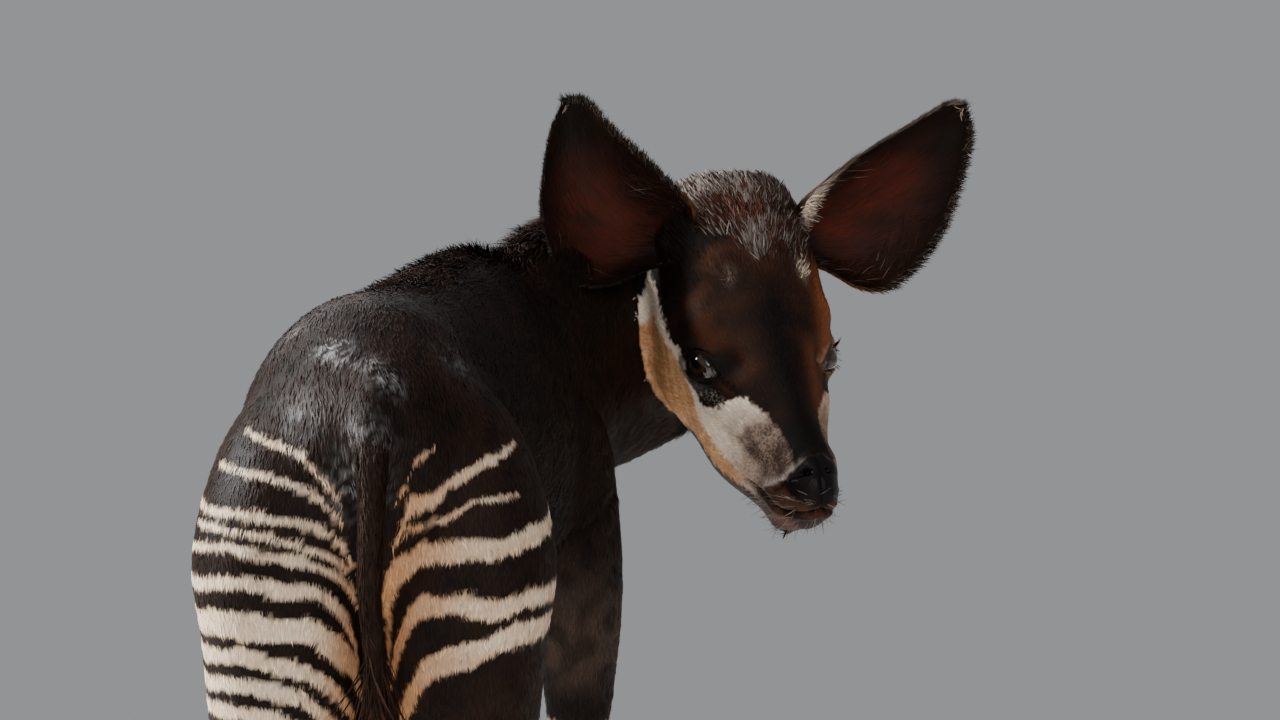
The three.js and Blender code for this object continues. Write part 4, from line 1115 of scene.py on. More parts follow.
def blades(roots, normals, lies, length, width, rise, rows=2, sway=0.0, bed=0.5):
    """Tapered blades with a raised middle line. A blade starts at the first angle of rise above
    the skin and ends at the second, and its centre line adds up
    (length / rows) (cos a lie + sin a normal) row by row; its width is
    width (1 - q^1.8) at a share q of its length, down to a point."""
    n = len(roots)
    side = unit(np.cross(lies, normals))
    start, end = (np.radians(np.broadcast_to(a, n)) for a in rise)
    length, width = (np.broadcast_to(np.asarray(a, float), n) for a in (length, width))
    sway = np.broadcast_to(sway, n)
    at = roots - normals * bed
    points = np.empty((n, rows * 3 + 1, 3))
    for k in range(rows + 1):
        q = k / rows
        bent = at + side * (sway * length * q * q)[:, None]
        if k == rows:
            points[:, -1] = bent
            break
        half = (width * 0.5 * (1 - q**1.8) * (0.85 if k == 0 else 1.0))[:, None]
        points[:, 3 * k] = bent - side * half
        points[:, 3 * k + 1] = bent + normals * half * 0.42
        points[:, 3 * k + 2] = bent + side * half
        a = (start + (end - start) * (k + 0.5) / rows)[:, None]
        at = at + (lies * np.cos(a) + normals * np.sin(a)) * (length / rows)[:, None]
    faces = []
    for k in range(rows):
        for j in range(2):
            a, b = 3 * k + j, 3 * k + j + 1
            if k == rows - 1:
                faces.append((a, b, 3 * rows))
            else:
                faces += [(a, b, b + 3), (a, b + 3, a + 3)]
    faces = np.array(faces) + (np.arange(n) * (rows * 3 + 1))[:, None, None]
    return points.reshape(-1, 3), faces.reshape(-1, 3)


HAIR_PATCH = 0.003  # width of a blade's patch on the unwrap


def coat_piece(name, roots, normals, lies, length, width, rise, colour, where, material,
               rows=2, sway=0.0, shade=(0.62, 1.0, 1.16), bed=0.5):
    """One region's hair as a mesh, coloured from root to tip, each blade mapped to a small
    patch at its root's place on the region's unwrap."""
    points, faces = blades(roots, normals, lies, length, width, rise, rows, sway, bed)
    each = rows * 3 + 1
    q = np.append(np.repeat(np.arange(rows) / rows, 3), 1.0)
    tone = np.interp(q, [0, 0.5, 1], shade)
    colours = np.ones((len(roots), each, 4))
    if colour.ndim == 3:
        colour = colour[:, [0, 0, 0, 1, 1, 1, 2]]
    else:
        colour = colour[:, None]
    colours[:, :, :3] = colour * tone[None, :, None]
    across = np.append(np.tile([-1, 0, 1], rows), 0)
    patch = np.stack([across * HAIR_PATCH / 2, (q - 0.5) * HAIR_PATCH], 1)
    uv = where[:, None] + patch[None]
    thing = piece(name, points, faces, uv.reshape(-1, 2), colours.reshape(-1, 4), material)
    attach(thing, "root")
    return thing


def scattered(points, faces, density, count, rng):
    """Evenly spread places on triangles: equal steps through the running total of area times
    density, each jittered, with a random place inside the triangle reached."""
    a, b, c = corners(points, faces)
    area = np.linalg.norm(np.cross(b - a, c - a), axis=1) * density
    total = np.cumsum(area)
    reach = (np.arange(count) + rng.uniform(size=count)) / count * total[-1]
    found = np.searchsorted(total, reach)
    p, q = rng.uniform(size=(2, count))
    turn = p + q > 1
    p, q = np.where(turn, 1 - p, p), np.where(turn, 1 - q, q)
    return found, np.stack([1 - p - q, p, q], 1)


def mixed(values, faces, found, shares):
    """Values at places inside triangles from those at their corners."""
    return (values[faces[found]] * shares[:, :, None]).sum(1)


def gathered(parts):
    """Each kind of value of many sets of hairs, as one list."""
    return (np.concatenate(values) for values in zip(*parts))


def drawn(rng, count, long, wide, first, last):
    """Length, width and first and last lift of many hairs: sizes even between two ends, lifts
    in a bell about a middle with a spread."""
    return (rng.uniform(*long, count), rng.uniform(*wide, count),
            rng.normal(*first, count), rng.normal(*last, count))


def swept(lies, normals, degrees):
    """Lies laid flat on the skin and turned about its normal by degrees."""
    flat = unit(lies - normals * dot(lies, normals)[:, None])
    a = np.radians(degrees)[:, None]
    return flat * np.cos(a) + np.cross(normals, flat) * np.sin(a)


# Hairs, length, width and lift of the first and last stretch of a blade in degrees
COATS = {
    "torso": (33000, 12.0, 1.45, 11, -4),
    "neck": (23800, 12.0, 1.5, 12, -4),
    "head": (33000, 6.0, 1.0, 15, -3),
    "hind_right": (33000, 9.5, 1.4, 11, -4),
    "hind_left": (33000, 9.5, 1.4, 11, -4),
    "fore_right": (18500, 9.0, 1.4, 11, -4),
    "fore_left": (18500, 9.0, 1.4, 11, -4),
}


def hair_sizes(points, name):
    """Density and size factors of the hair by place: smaller and denser on face and feet."""
    n = len(points)
    dense, longer = np.ones(n), np.ones(n)
    s, u, v = in_head(points)
    if name == "head":
        crown = ramp(v, 40, 72) * (1 - ramp(s, 70, 110))
        back = 1 - ramp(s, 20, 70)
        muzzle = ramp(s, 170, 225)
        longer = 1 + 0.9 * crown + 0.7 * back - 0.5 * muzzle
        q = np.hypot((s - EYE_ALONG) / 1.1, v - EYE_RISE)
        longer = longer - 0.35 * (1 - ramp(q, 22, 36)) * (np.abs(u) > 30)
        dense = 1.0 / longer**1.3
    elif name[:4] in ("hind", "fore"):
        thin = 1 - ramp(points[:, 2], 330, 520)
        longer = 1 - 0.42 * thin
        dense = 1 + 1.0 * thin
    return dense, longer


def body_coat(points, faces, material):
    """The short flat coat over the skin, region by region."""
    normals = normals_of(points, faces)
    region, lies = regions_of(points)
    of_face = region[faces[:, 0]]
    middle = points[faces].mean(1)
    for k, name in enumerate(REGIONS):
        rng = np.random.default_rng(100 + k)
        count, length, width, first, last = COATS[name]
        rows = faces[of_face == k]
        at = middle[of_face == k]
        dense, _ = hair_sizes(at, name)
        _, bare = markings(at, np.full(len(at), k))
        dense = dense * (1 - bare)
        if name == "head":
            for side in (1, -1):
                centre, axes = eye_axes(side)
                q = (at - centre) @ axes.T
                eye = np.hypot(q[:, 0] / LID_HALF, q[:, 1] / LID_LIFT)
                dense = dense * np.where(q[:, 2] > -20, ramp(eye, 1.35, 1.6), 1)
        found, shares = scattered(points, rows, dense, count, rng)
        roots = mixed(points, rows, found, shares)
        normal = unit(mixed(normals, rows, found, shares))
        lie = mixed(lies, rows, found, shares)
        loose = 0.35 if name == "head" else 1.0
        clump = (14 * ripple(roots, 38, 50 + k) + 8 * ripple(roots, 13, 90 + k)) * loose
        clump = clump + rng.normal(0, 7, count)
        lie = swept(lie, normal, clump)
        _, longer = hair_sizes(roots, name)
        size = longer * rng.uniform(0.75, 1.2, count)
        colour = np.stack([markings(roots + lie * (length * size * q)[:, None],
                                    np.full(count, k))[0] for q in (0.2, 0.45, 0.7)], 1)
        vary = 0.2 if name == "head" else 0.15
        tone = 1 + vary * ripple(roots, 12, 60 + k) + rng.normal(0, vary, count)
        colour = colour * np.clip(tone, 0.5, 1.6)[:, None, None]
        wide = width * longer**0.6 * rng.uniform(0.75, 1.25, count)
        lift = first + rng.normal(0, 3.5, count) + 5 * loose * ripple(roots, 16, 70 + k)
        coat_piece("Coat_" + name, roots, normal, lie, length * size, wide,
                   (lift, np.full(count, last)), colour, flat_map(PATHS[name], roots), material,
                   sway=rng.normal(0, 0.06, count))


TAIL_HAIRS, TUFT_HAIRS = 6500, 900


def tail_roots(rng, first, last, count, stray):
    """Places round the tail's flesh, their normals, and a lie down the tail that strays by
    degrees."""
    path = PATHS["tail"]
    t = rng.uniform(first, path.spans - last, count)
    roots = path.surface(t, rng.uniform(0, 2 * math.pi, count))
    middle, ahead, _, _, _ = path.frame(t)
    normal = unit(roots - middle)
    return t, roots, normal, swept(ahead, normal, rng.normal(0, stray, count))


def tail_coat(material):
    """Short hair down the tail and the long tuft at its end."""
    rng = np.random.default_rng(120)
    path = PATHS["tail"]
    count = TAIL_HAIRS
    t, roots, normal, lie = tail_roots(rng, 0.9, 0.3, count, 9)
    length = np.interp(t / path.spans, [0, 0.4, 0.7, 1], [11, 12, 20, 32])
    length = length * rng.uniform(0.8, 1.2, count)
    colour = over(DARK, BROWN, held(rng.normal(0.1, 0.12, count)))
    coat_piece("Coat_tail", roots, normal, lie, length, 1.3 * rng.uniform(0.7, 1.2, count),
               (rng.normal(10, 3, count), rng.normal(-4, 3, count)), colour,
               flat_map(path, roots), material)
    count = TUFT_HAIRS
    _, roots, normal, lie = tail_roots(rng, 5.6, 0.1, count, 14)
    colour = over(BLACKISH, BROWN, held(rng.normal(0.2, 0.25, count)))
    length, width, *rise = drawn(rng, count, (42, 74), (1.2, 2.2), (12, 5), (-5, 4))
    coat_piece("Tail_tuft", roots, normal, lie, length, width, rise, colour,
               flat_map(path, roots), material, rows=5, sway=rng.normal(0, 0.07, count))


# Fringe: path, first and last place along it in spans, and hairs.
FRINGE = [("torso", 4.7, 9.6, 2200), ("neck", 0.2, 4.7, 2200)]
FRINGE_DEEP = 3.5  # depth of its roots under the coat's outside


def crest(material):
    """The raised fringe of longer hair along the spine, flat on the rump, then standing up to
    the withers and on to the back of the head."""
    parts = []
    rng = np.random.default_rng(130)
    for name, first, last, count in FRINGE:
        path = PATHS[name]
        t = rng.uniform(first, last, count)
        risen = ramp(t, 5.2, 6.5) if name == "torso" else np.ones(count)
        angle = math.pi / 2 + rng.normal(0, 1, count) * (0.22 - 0.08 * risen)
        roots = path.surface(t, angle, -FRINGE_DEEP)
        middle, ahead, _, _, _ = path.frame(t)
        nudge = 0.01
        a = path.surface(t + nudge, angle, -FRINGE_DEEP) - roots
        b = path.surface(t, angle + nudge, -FRINGE_DEEP) - roots
        normal = unit(np.cross(a, b))
        normal = normal * np.sign(dot(normal, roots - middle))[:, None]
        clump = ripple(roots, 30, 131)
        lie = swept(-ahead, normal, rng.normal(0, 11, count) + 16 * clump)
        colour = over(BLACKISH, BROWN, held(rng.normal(0.2, 0.2, count)))
        tall = 0.6 * ramp(roots[:, 1], 150, 235) * (1 - 0.6 * ramp(roots[:, 1], 300, 380))
        length = (15 + 10 * risen + 13 * tall) * rng.uniform(0.86, 1.12, count)
        parts.append((roots, normal, lie, length, rng.uniform(0.8, 1.5, count),
                      9 + risen * (14 + 5 * clump) + 12 * tall + rng.normal(0, 3.5, count),
                      rng.normal(0, 5, count), colour, flat_map(path, roots)))
    roots, normal, lie, length, width, first, last, colour, where = gathered(parts)
    coat_piece("Fringe", roots, normal, lie, length, width, (first, last), colour, where,
               material, rows=4, sway=rng.normal(0, 0.06, len(roots)), shade=(0.7, 1.0, 1.3))


def ear_frame(name, s, t, back):
    """Points on an ear's face, its normal there and its directions along and round it."""
    depth = outer_depth(s, t) if back else EAR_INNER + 0 * s

    def at(ds, dt):
        return ear_surface(*EARS[name], held(s + ds), (t + dt) * EAR_SPREAD, depth)

    nudge = 0.004
    here = at(0, 0)
    along = unit(at(nudge, 0) - at(-nudge, 0))
    turn = unit(at(0, nudge) - at(0, -nudge))
    normal = unit(np.cross(along, turn))
    within = ear_surface(*EARS[name], s, t * EAR_SPREAD, -20)
    away = dot(here - within, normal)
    normal = normal * np.sign(away)[:, None] * (1 if back else -1)
    return here, normal, along, turn


def ear_colours(name, s, t, back, points):
    """Dark outside and rim, reddish brown within where light comes through the thin middle."""
    soft = ripple(points, 30, 141)
    if back:
        return over(DARK, BROWN, held(0.25 + 0.2 * soft))
    middle = bell(t, 0.5) * ramp(s, 0.1, 0.28) * (1 - ramp(s, 0.5, 0.8))
    colour = over(DARK, BROWN, held(0.04 + 0.35 * middle + 0.08 * soft))
    colour = over(colour, EAR_GLOW, middle * held(0.36 + 0.25 * soft))
    if name == "left":
        lap = ramp(-t, 0.4, 0.75) * (1 - ramp(s, 0.3, 0.44))
        colour = over(colour, EAR_GREY, lap * held(0.6 + 0.5 * speckle(points)))
    return over(colour, BLACKISH, ramp(s, 0.72, 0.95) * 0.7)


EAR_HAIRS = {"outside": 8500, "inside": 5200, "rim": 3400, "tuft": 1100, "mouth": 320, "tip": 26}


def ear_coat(name, material):
    """Hair on both faces of an ear, and the fine fringe that stands off its rim."""
    rng = np.random.default_rng(140 + len(name))
    side = EARS[name][0]
    parts = []

    def add(s, t, back, colour, turn_by, shape, longer=1, wider=1):
        here, normal, along, turn = ear_frame(name, s, t, back)
        a = np.radians(turn_by)[:, None]
        lie = unit(along * np.cos(a) + turn * np.sin(a))
        length, width, first, last = drawn(rng, len(s), *shape)
        where = np.stack([(t + 1) / 2 * 0.45 + (0.5 if back else 0.02), s * 0.9 + 0.05], 1)
        parts.append((here, normal, lie, length * longer, width * wider, first, last, colour,
                      where))

    for back, count in ((True, EAR_HAIRS["outside"]), (False, EAR_HAIRS["inside"])):
        s = rng.uniform(0.01, 0.985, count)
        t = rng.uniform(-1, 1, count)
        if not back:
            keep = rng.uniform(size=count) < 0.25 + 0.75 * ramp(np.abs(t), 0.25, 0.85)
            s, t = s[keep], t[keep]
        n = len(s)
        here, _, _, _ = ear_frame(name, s, t, back)
        turn_by = t * (24 if back else 34) + rng.normal(0, 9, n)
        tone = np.clip(1 + rng.normal(0, 0.16, n), 0.5, 1.6)[:, None]
        add(s, t, back, ear_colours(name, s, t, back, here) * tone, turn_by,
            ((7, 11) if back else (9, 17), (1.0, 1.6), (13 if back else 9, 4), (0, 3)),
            wider=1 if back else 0.6)
    # Rim: lies outwards over the edge, silvery on the left ear's upper edge and tan on its lower
    count = EAR_HAIRS["rim"]
    s = rng.beta(1.1, 1.1, count) * 0.985 + 0.01
    t = np.sign(rng.uniform(-1, 1, count)) * rng.uniform(0.93, 1.0, count)
    upper = t * side > 0
    silver = 0.05 + 0.4 * (upper & (name == "left")) * ramp(s, 0.15, 0.5)
    colour = over(DARK, GREY, held(rng.normal(0, 0.15, count) + silver))
    low = (1 - ramp(s, 0.14, 0.36)) * ~upper
    low = low * (0.85 if name == "left" else 0.5)
    colour = over(colour, EAR_TAN, held(low * rng.uniform(0.6, 1.2, count)))
    turn_by = np.sign(t) * rng.normal(52, 12, count)
    root = upper & (name == "left") & (s < 0.46)
    colour = over(colour, over(BROWN, GREY, rng.uniform(0, 1, count)), root * 0.75)
    add(s, t, False, colour, turn_by, ((6, 13), (0.6, 1.0), (4, 7), (4, 6)),
        longer=1 + 0.9 * root)
    # Tuft on the upper edge of the left ear's funnel, next to the crown
    if name == "left":
        count = EAR_HAIRS["tuft"]
        s = rng.uniform(0.03, 0.4, count)
        t = side * rng.uniform(0.86, 1.0, count)
        colour = over(BROWN, GREY, rng.uniform(0.1, 1.1, count))
        reach = 0.45 + 0.55 * np.sin(math.pi * held(s / 0.4))
        add(s, t, False, colour, side * rng.normal(62, 14, count),
            ((17, 27), (0.7, 1.1), (10, 9), (6, 8)), longer=reach)
    # Longer hairs from the edges of the funnel across its mouth, and a wisp at the tip
    count = EAR_HAIRS["mouth"]
    s = rng.uniform(0.02, 0.5, count)
    t = np.sign(rng.uniform(-1, 1, count)) * rng.uniform(0.55, 0.98, count)
    colour = over(DARK, BROWN, rng.uniform(0, 1, count))
    colour = over(colour, GREY, (rng.uniform(size=count) < 0.06) * 0.35)
    add(s, t, False, colour, rng.normal(0, 20, count) - np.sign(t) * 18,
        ((12, 24), (0.5, 0.9), (22, 8), (6, 8)))
    count = EAR_HAIRS["tip"]
    colour = over(BROWN, CREAM, rng.uniform(0.2, 0.9, count))
    add(rng.uniform(0.95, 0.995, count), rng.uniform(-1, 1, count), False, colour,
        rng.normal(0, 16, count), ((7, 14), (0.5, 0.8), (10, 8), (0, 8)))
    roots, normal, lie, length, width, first, last, colour, where = gathered(parts)
    coat_piece("Coat_ear_" + name, roots, normal, lie, length, width, (first, last), colour,
               where, material, sway=rng.normal(0, 0.08, len(roots)), bed=0.3)


def face_hair(points, faces, material):
    """Lashes, whiskers of the lips and chin, and the silvery hair of the crown and horn buds, with
    painted glints on the crown and a painted highlight on the left bud.
    """
    rng = np.random.default_rng(160)
    parts = []
    for side in (1, -1):
        centre, axes = eye_axes(side)
        for upper, count, low, high in ((True, 64, 7, 12), (False, 34, 3.5, 5.5)):
            turn = rng.uniform(0.12, math.pi - 0.12, count) * (1 if upper else -1)
            c, s = np.cos(turn), np.sin(turn)
            x = powered(c, LID_ENDS) * (LID_HALF + 0.4)
            y = powered(s, LID_BOW) * (LID_LIFT * 0.93 + 0.5) - LID_SLANT * c
            z = np.sqrt((EYE_RADIUS + 0.6)**2 - x**2 - y**2) + 0.6
            roots = centre + np.stack([x, y, z], 1) @ axes
            way = unit(np.stack([x * 0.035 + rng.normal(0, 0.1, count),
                                 (0.55 if upper else -0.8) + 0 * x, 0.85 + 0 * x], 1)) @ axes
            normal = unit(np.cross(np.cross(way, axes[1]), way)) * (1 if upper else -1)
            parts.append((roots, normal, way, rng.uniform(low, high, count),
                          np.full(count, 0.55), np.full(count, -14.0), np.full(count, 26.0),
                          np.broadcast_to(BLACKISH * 0.6, roots.shape)))
    normals = normals_of(points, faces)
    s, u, v = in_head(points)
    lip = mouth_level(s, u)
    headed = (np.abs(u) < 95) & (s < HEAD_END)
    chin = headed & (s > 214) & (v < lip - 4)
    upper = headed & (s > 226) & (v > lip + 3) & (v < lip + 16) & (nostril_distance(s, u, v) > 6)
    for mask, count, long in ((chin, 170, (8, 20)), (upper, 90, (7, 16))):
        rows = rng.choice(np.flatnonzero(mask), count)
        lie = swept(-ALONG - RISE * 0.6, normals[rows], rng.normal(0, 18, count))
        parts.append((points[rows], normals[rows], lie, rng.uniform(*long, count),
                      np.full(count, 0.4), rng.normal(48, 10, count), rng.normal(10, 8, count),
                      over(BLACKISH, GREY,
                           held(rng.normal(0.35, 0.3, count)))))
    bud = headed & (np.hypot(s - BUD_ALONG, np.abs(u) - BUD_SIDE) < 6) & (v > 50)
    stem = np.sqrt((s - EAR_ROOT[0])**2 + (np.abs(u) - EAR_ROOT[1] - 4)**2 + (v - EAR_ROOT[2])**2)
    crown = headed & (v > 58) & (s > -30) & (s < 84 - 1.1 * np.maximum(u - 8, 0))
    crown = crown & (np.abs(u) < 44) & (stem > 30)
    for on_bud, mask, count, long, first in ((True, bud, 70, (4, 7), 38),
                                             (False, crown, 3000, (8, 15), 19)):
        rows = rng.choice(np.flatnonzero(mask), count)
        here = points[rows] + rng.normal(0, 1.2, (count, 3))
        here -= normals[rows] * dot(here - points[rows], normals[rows])[:, None]
        along, across, _ = in_head(here)
        away = -ALONG + np.multiply.outer(across * 0.006, ACROSS)
        lie = swept(away, normals[rows], rng.normal(0, 16, count) + 26 * ripple(here, 26, 161))
        # Painted glints: silver patches at the near top of the crown and on its middle
        painted_glint = 0.8 * np.exp(-((along - 4) / 24)**2 - ((across - 10) / 32)**2)
        painted_glint = painted_glint + np.exp(-((along - 64) / 9)**2 - ((across - 4) / 10)**2)
        pale = rng.normal(0, 0.2, count) + 0.25 * ripple(here, 18, 162) + 0.5 * painted_glint
        pale = held(pale)
        colour = over(DARK, BROWN, rng.uniform(0, 0.7, count))
        red = np.exp(-((along - 42) / 16)**2 - ((across - 8) / 20)**2) * (not on_bud)
        colour = over(colour, CROWN_RED, red * rng.uniform(0.3, 1, count))
        colour = over(colour, CROWN_GRIZZLE_AND_GLINT, pale)
        if on_bud:
            # The left bud's paler hair is a painted highlight
            far = np.where(across < 0, 0.55, -0.2)
            colour = over(BROWN, CREAM, held(rng.normal(0, 0.25, count) + far))
        parts.append((here, normals[rows], lie,
                      *drawn(rng, count, long, (0.8, 1.4), (first, 8), (2, 6)), colour))
    roots, normal, lie, length, width, first, last, colour = gathered(parts)
    coat_piece("Face_hair", roots, normal, lie, length, width, (first, last), colour,
               flat_map(PATHS["head"], roots), material, rows=3,
               sway=rng.normal(0, 0.05, len(roots)), bed=0.4)


# Eyes and hooves


def eyeball(side):
    """A ball whose front bulges where the clear part lies: radius R - 0.3 + 1.1 (1 - (p/40)^2)^2
    within 40 degrees of the line of sight, mapped by its place across that line."""
    centre, _ = eye_axes(side)
    gaze = unit(np.array(EYE_GAZE[side]))
    level = unit(np.cross(gaze, (0, 0, 1)))
    axes = np.array([level, np.cross(level, gaze), gaze]) @ HEAD_AXES
    p, ways, faces = globe(60, 72)
    bulge = np.clip(1 - (p / math.radians(40))**2, 0, None)**2
    local = ways * (EYE_RADIUS - 0.3 + 1.1 * bulge)[:, None]
    points, faces = outward(local @ axes, faces)
    return points + centre, faces, local[:, :2] / EYE_MAP + 0.5


HOOF_HIGH, HOOF_HALF = 43.2, 17.9  # height of a claw and its half-width at the coronet


def claws(hind, side):
    """The two claws of a foot: D-shaped rings that lean and widen from the coronet to the sole,
    half-width W (1 + 0.18 t) sin(a)^0.75 on the outside, with W that at the coronet, and flat
    towards the cleft."""
    parts = []
    for outwards in (1, -1):
        t = np.concatenate([[0, 0], np.linspace(0, 0.93, 18), [0.98, 1, 1]])
        grow = np.concatenate([[0, 0.75], np.full(18, 1.0), [0.97, 0.9, 0]])
        a = np.concatenate([np.linspace(0, math.pi, 30), np.full(8, math.pi)])
        flat = np.concatenate([np.zeros(30), np.linspace(0, 1, 10)[1:-1]])
        tt, aa = grid(t, a)
        gg, ff = grid(grow, flat)
        c, s = np.cos(aa), np.maximum(np.sin(aa), 0)
        c = np.where(ff > 0, -1 + 2 * ff, c)
        front, back = 18.4 + 14.2 * tt, 19.2 + 5.4 * tt
        y = np.where(c > 0, front, back) * powered(c, 0.9)
        x = HOOF_HALF * (1 + 0.18 * tt) * s**0.75 * (1 - 0.25 * np.maximum(c, 0)**2)
        hollow = np.where(ff > 0, 0.5 * np.sin(math.pi * ff), 0)
        ridge = 0.16 * np.sin(tt * 70 + 2 * c) * (gg == 1)
        x, y = (x + hollow) * gg + 6 * (1 - gg) + ridge * (s > 0.1), y * gg + 7 * tt
        z = HOOF_HIGH * (1 - tt) + np.where(gg == 0, np.where(tt > 0.5, 1.2, -0.5), 0)
        z = z + 0.3 * (1 - tt)
        points = np.stack([outwards * (1.0 + x), y, np.maximum(z, 0.25)], 1)
        m = len(a)
        i, k = grid(np.arange(len(t) - 1), np.arange(m))
        p, q = i * m + k, i * m + (k + 1) % m
        parts.append(outward(points, halved(p, q, q + m, p + m)))
    points, faces = joined(parts)
    if hind:
        return points + (side * 67, -222, 0), faces
    points = turned(points + (0, 17, 0), UP, -SHOULDER_YAW)
    return points + (*FORELEG_PLACE[side], 0), faces


# Materials


class Wire:
    """A shader value that sums, products and powers join like numbers."""

    def __init__(self, paint, socket):
        self.paint, self.socket = paint, socket

    def _join(self, how, *values):
        return self.paint.node("ShaderNodeMath", {"operation": how}, dict(enumerate(values)))

    def __add__(self, other):
        return self._join("ADD", self, other)

    def __sub__(self, other):
        return self._join("SUBTRACT", self, other)

    def __rsub__(self, other):
        return self._join("SUBTRACT", other, self)

    def __mul__(self, other):
        return self._join("MULTIPLY", self, other)

    def __pow__(self, other):
        return self._join("POWER", self, other)

    __radd__, __rmul__ = __add__, __mul__

    def clear(self):
        """Kept between 0 and 1."""
        return self._join("MINIMUM", self._join("MAXIMUM", self, 0.0), 1.0)


class Paint:
    """A material under construction round one principled surface."""

    def __init__(self, name, **constants):
        self.material = bpy.data.materials.new(name)
        self.material.use_nodes = True
        self.tree = self.material.node_tree
        self.surface = self.tree.nodes["Principled BSDF"]
        for socket, value in constants.items():
            self.surface.inputs[socket.replace("_", " ")].default_value = value

    def node(self, kind, settings, inputs, output=0):
        """Any node: its settings first, then its inputs as numbers or wires."""
        made = self.tree.nodes.new(kind)
        for key, value in settings.items():
            setattr(made, key, value)
        for key, value in inputs.items():
            if isinstance(value, Wire):
                self.tree.links.new(value.socket, made.inputs[key])
            else:
                made.inputs[key].default_value = value
        return Wire(self, made.outputs[output])

    def own(self):
        """The colour that the mesh carries."""
        return self.node("ShaderNodeAttribute", {"attribute_name": "coat"}, {})

    def place(self):
        """The place on the piece, in metres."""
        return self.node("ShaderNodeTexCoord", {}, {}, 3)

    def lie(self):
        """The place on the map that follows the lie of the hair."""
        return self.node("ShaderNodeUVMap", {"uv_map": "Lie"}, {})

    def stretched(self, vector, *scale):
        return self.node("ShaderNodeVectorMath", {"operation": "MULTIPLY"}, {0: vector, 1: scale})

    def noise(self, vector, scale, detail=2.0, roughness=0.5):
        return self.node("ShaderNodeTexNoise", {"noise_dimensions": "3D"}, {
            "Vector": vector, "Scale": scale, "Detail": detail, "Roughness": roughness})

    def blend(self, share, first, second):
        mix = {0: share, 6: first, 7: second}  # the colour sockets are 6 and 7, and 2 comes out
        return self.node("ShaderNodeMix", {"data_type": "RGBA"}, mix, 2)

    def to(self, **wires):
        for socket, wire in wires.items():
            self.tree.links.new(wire.socket, self.surface.inputs[socket.replace("_", " ")])
        return self.material

    def bump(self, height, strength, distance):
        return self.node("ShaderNodeBump", {}, {
            "Height": height, "Strength": strength, "Distance": distance})


def shaded(*codes):
    """A colour from the usual codes as a shader input."""
    return (*srgb(*codes), 1.0)


def coat_material():
    """Glossy hair: its own colour, blended in patches and fine flecks towards a paler brown, with
    gloss that varies in patches.
    """
    m = Paint("coat", Specular_IOR_Level=0.055)
    own = m.own()
    place = m.place()
    patch = m.noise(place, 34.0, 3.0)
    fine = m.noise(place, 420.0, 2.0)
    colour = m.blend((patch * 0.5 + fine * 0.3 - 0.1).clear(), own,
                     m.blend(0.3, own, shaded(120, 92, 74)))
    colour = m.blend(0.55, own, colour)
    return m.to(Base_Color=colour, Roughness=(0.24 + 0.3 * patch + 0.1 * fine).clear())


def skin_material():
    """Skin under the coat: the same markings, finely streaked along the lie by its own map, and
    wet pebbled skin where it is bare."""
    m = Paint("skin", Specular_IOR_Level=0.08, Subsurface_Weight=0.06, Subsurface_Scale=0.004)
    own = m.own()
    bare = Wire(m, own.socket.node.outputs["Alpha"])
    place = m.place()
    lie = m.lie()
    streak = m.noise(m.stretched(lie, 900.0, 110.0, 1.0), 1.0, 3.0, 0.6)
    wide = m.noise(m.stretched(lie, 260.0, 40.0, 1.0), 1.0, 2.0)
    dark = m.blend(0.45, own, shaded(22, 15, 12))
    colour = m.blend((streak * 1.5 - 0.25).clear(), dark, own)
    pebble = m.node("ShaderNodeTexVoronoi", {"feature": "SMOOTH_F1"}, {
        "Vector": place, "Scale": 620.0, "Smoothness": 0.6})
    colour = m.blend(bare, colour, own)
    hair = streak * 0.7 + wide * 0.3
    height = hair * (1.0 - bare) + (1.0 - pebble) * 0.35 * bare
    roughness = (0.5 + 0.12 * wide) * (1.0 - bare) + 0.34 * bare
    return m.to(Base_Color=colour, Roughness=roughness, Normal=m.bump(height, 0.55, 0.0012))


def ear_material():
    """The thin leaf of the ear, lightly glowing, with hair-fine streaks along it."""
    m = Paint("ear", Subsurface_Weight=0.2, Subsurface_Scale=0.006, Specular_IOR_Level=0.1,
              Subsurface_Radius=(1.0, 0.3, 0.15))
    own = m.own()
    lie = m.lie()
    place = m.place()
    streak = m.noise(m.stretched(lie, 700.0, 90.0, 1.0), 1.0, 3.0)
    vein = m.noise(place, 46.0, 4.0)
    colour = m.blend((streak * 1.3 - 0.2).clear(), m.blend(0.5, own, shaded(30, 18, 14)), own)
    colour = m.blend((vein * 2.0 - 1.0).clear() * 0.4, colour, shaded(70, 26, 17))
    return m.to(Base_Color=colour, Roughness=0.42 + 0.2 * vein,
                Normal=m.bump(streak * 0.7 + vein * 0.5, 0.45, 0.001))


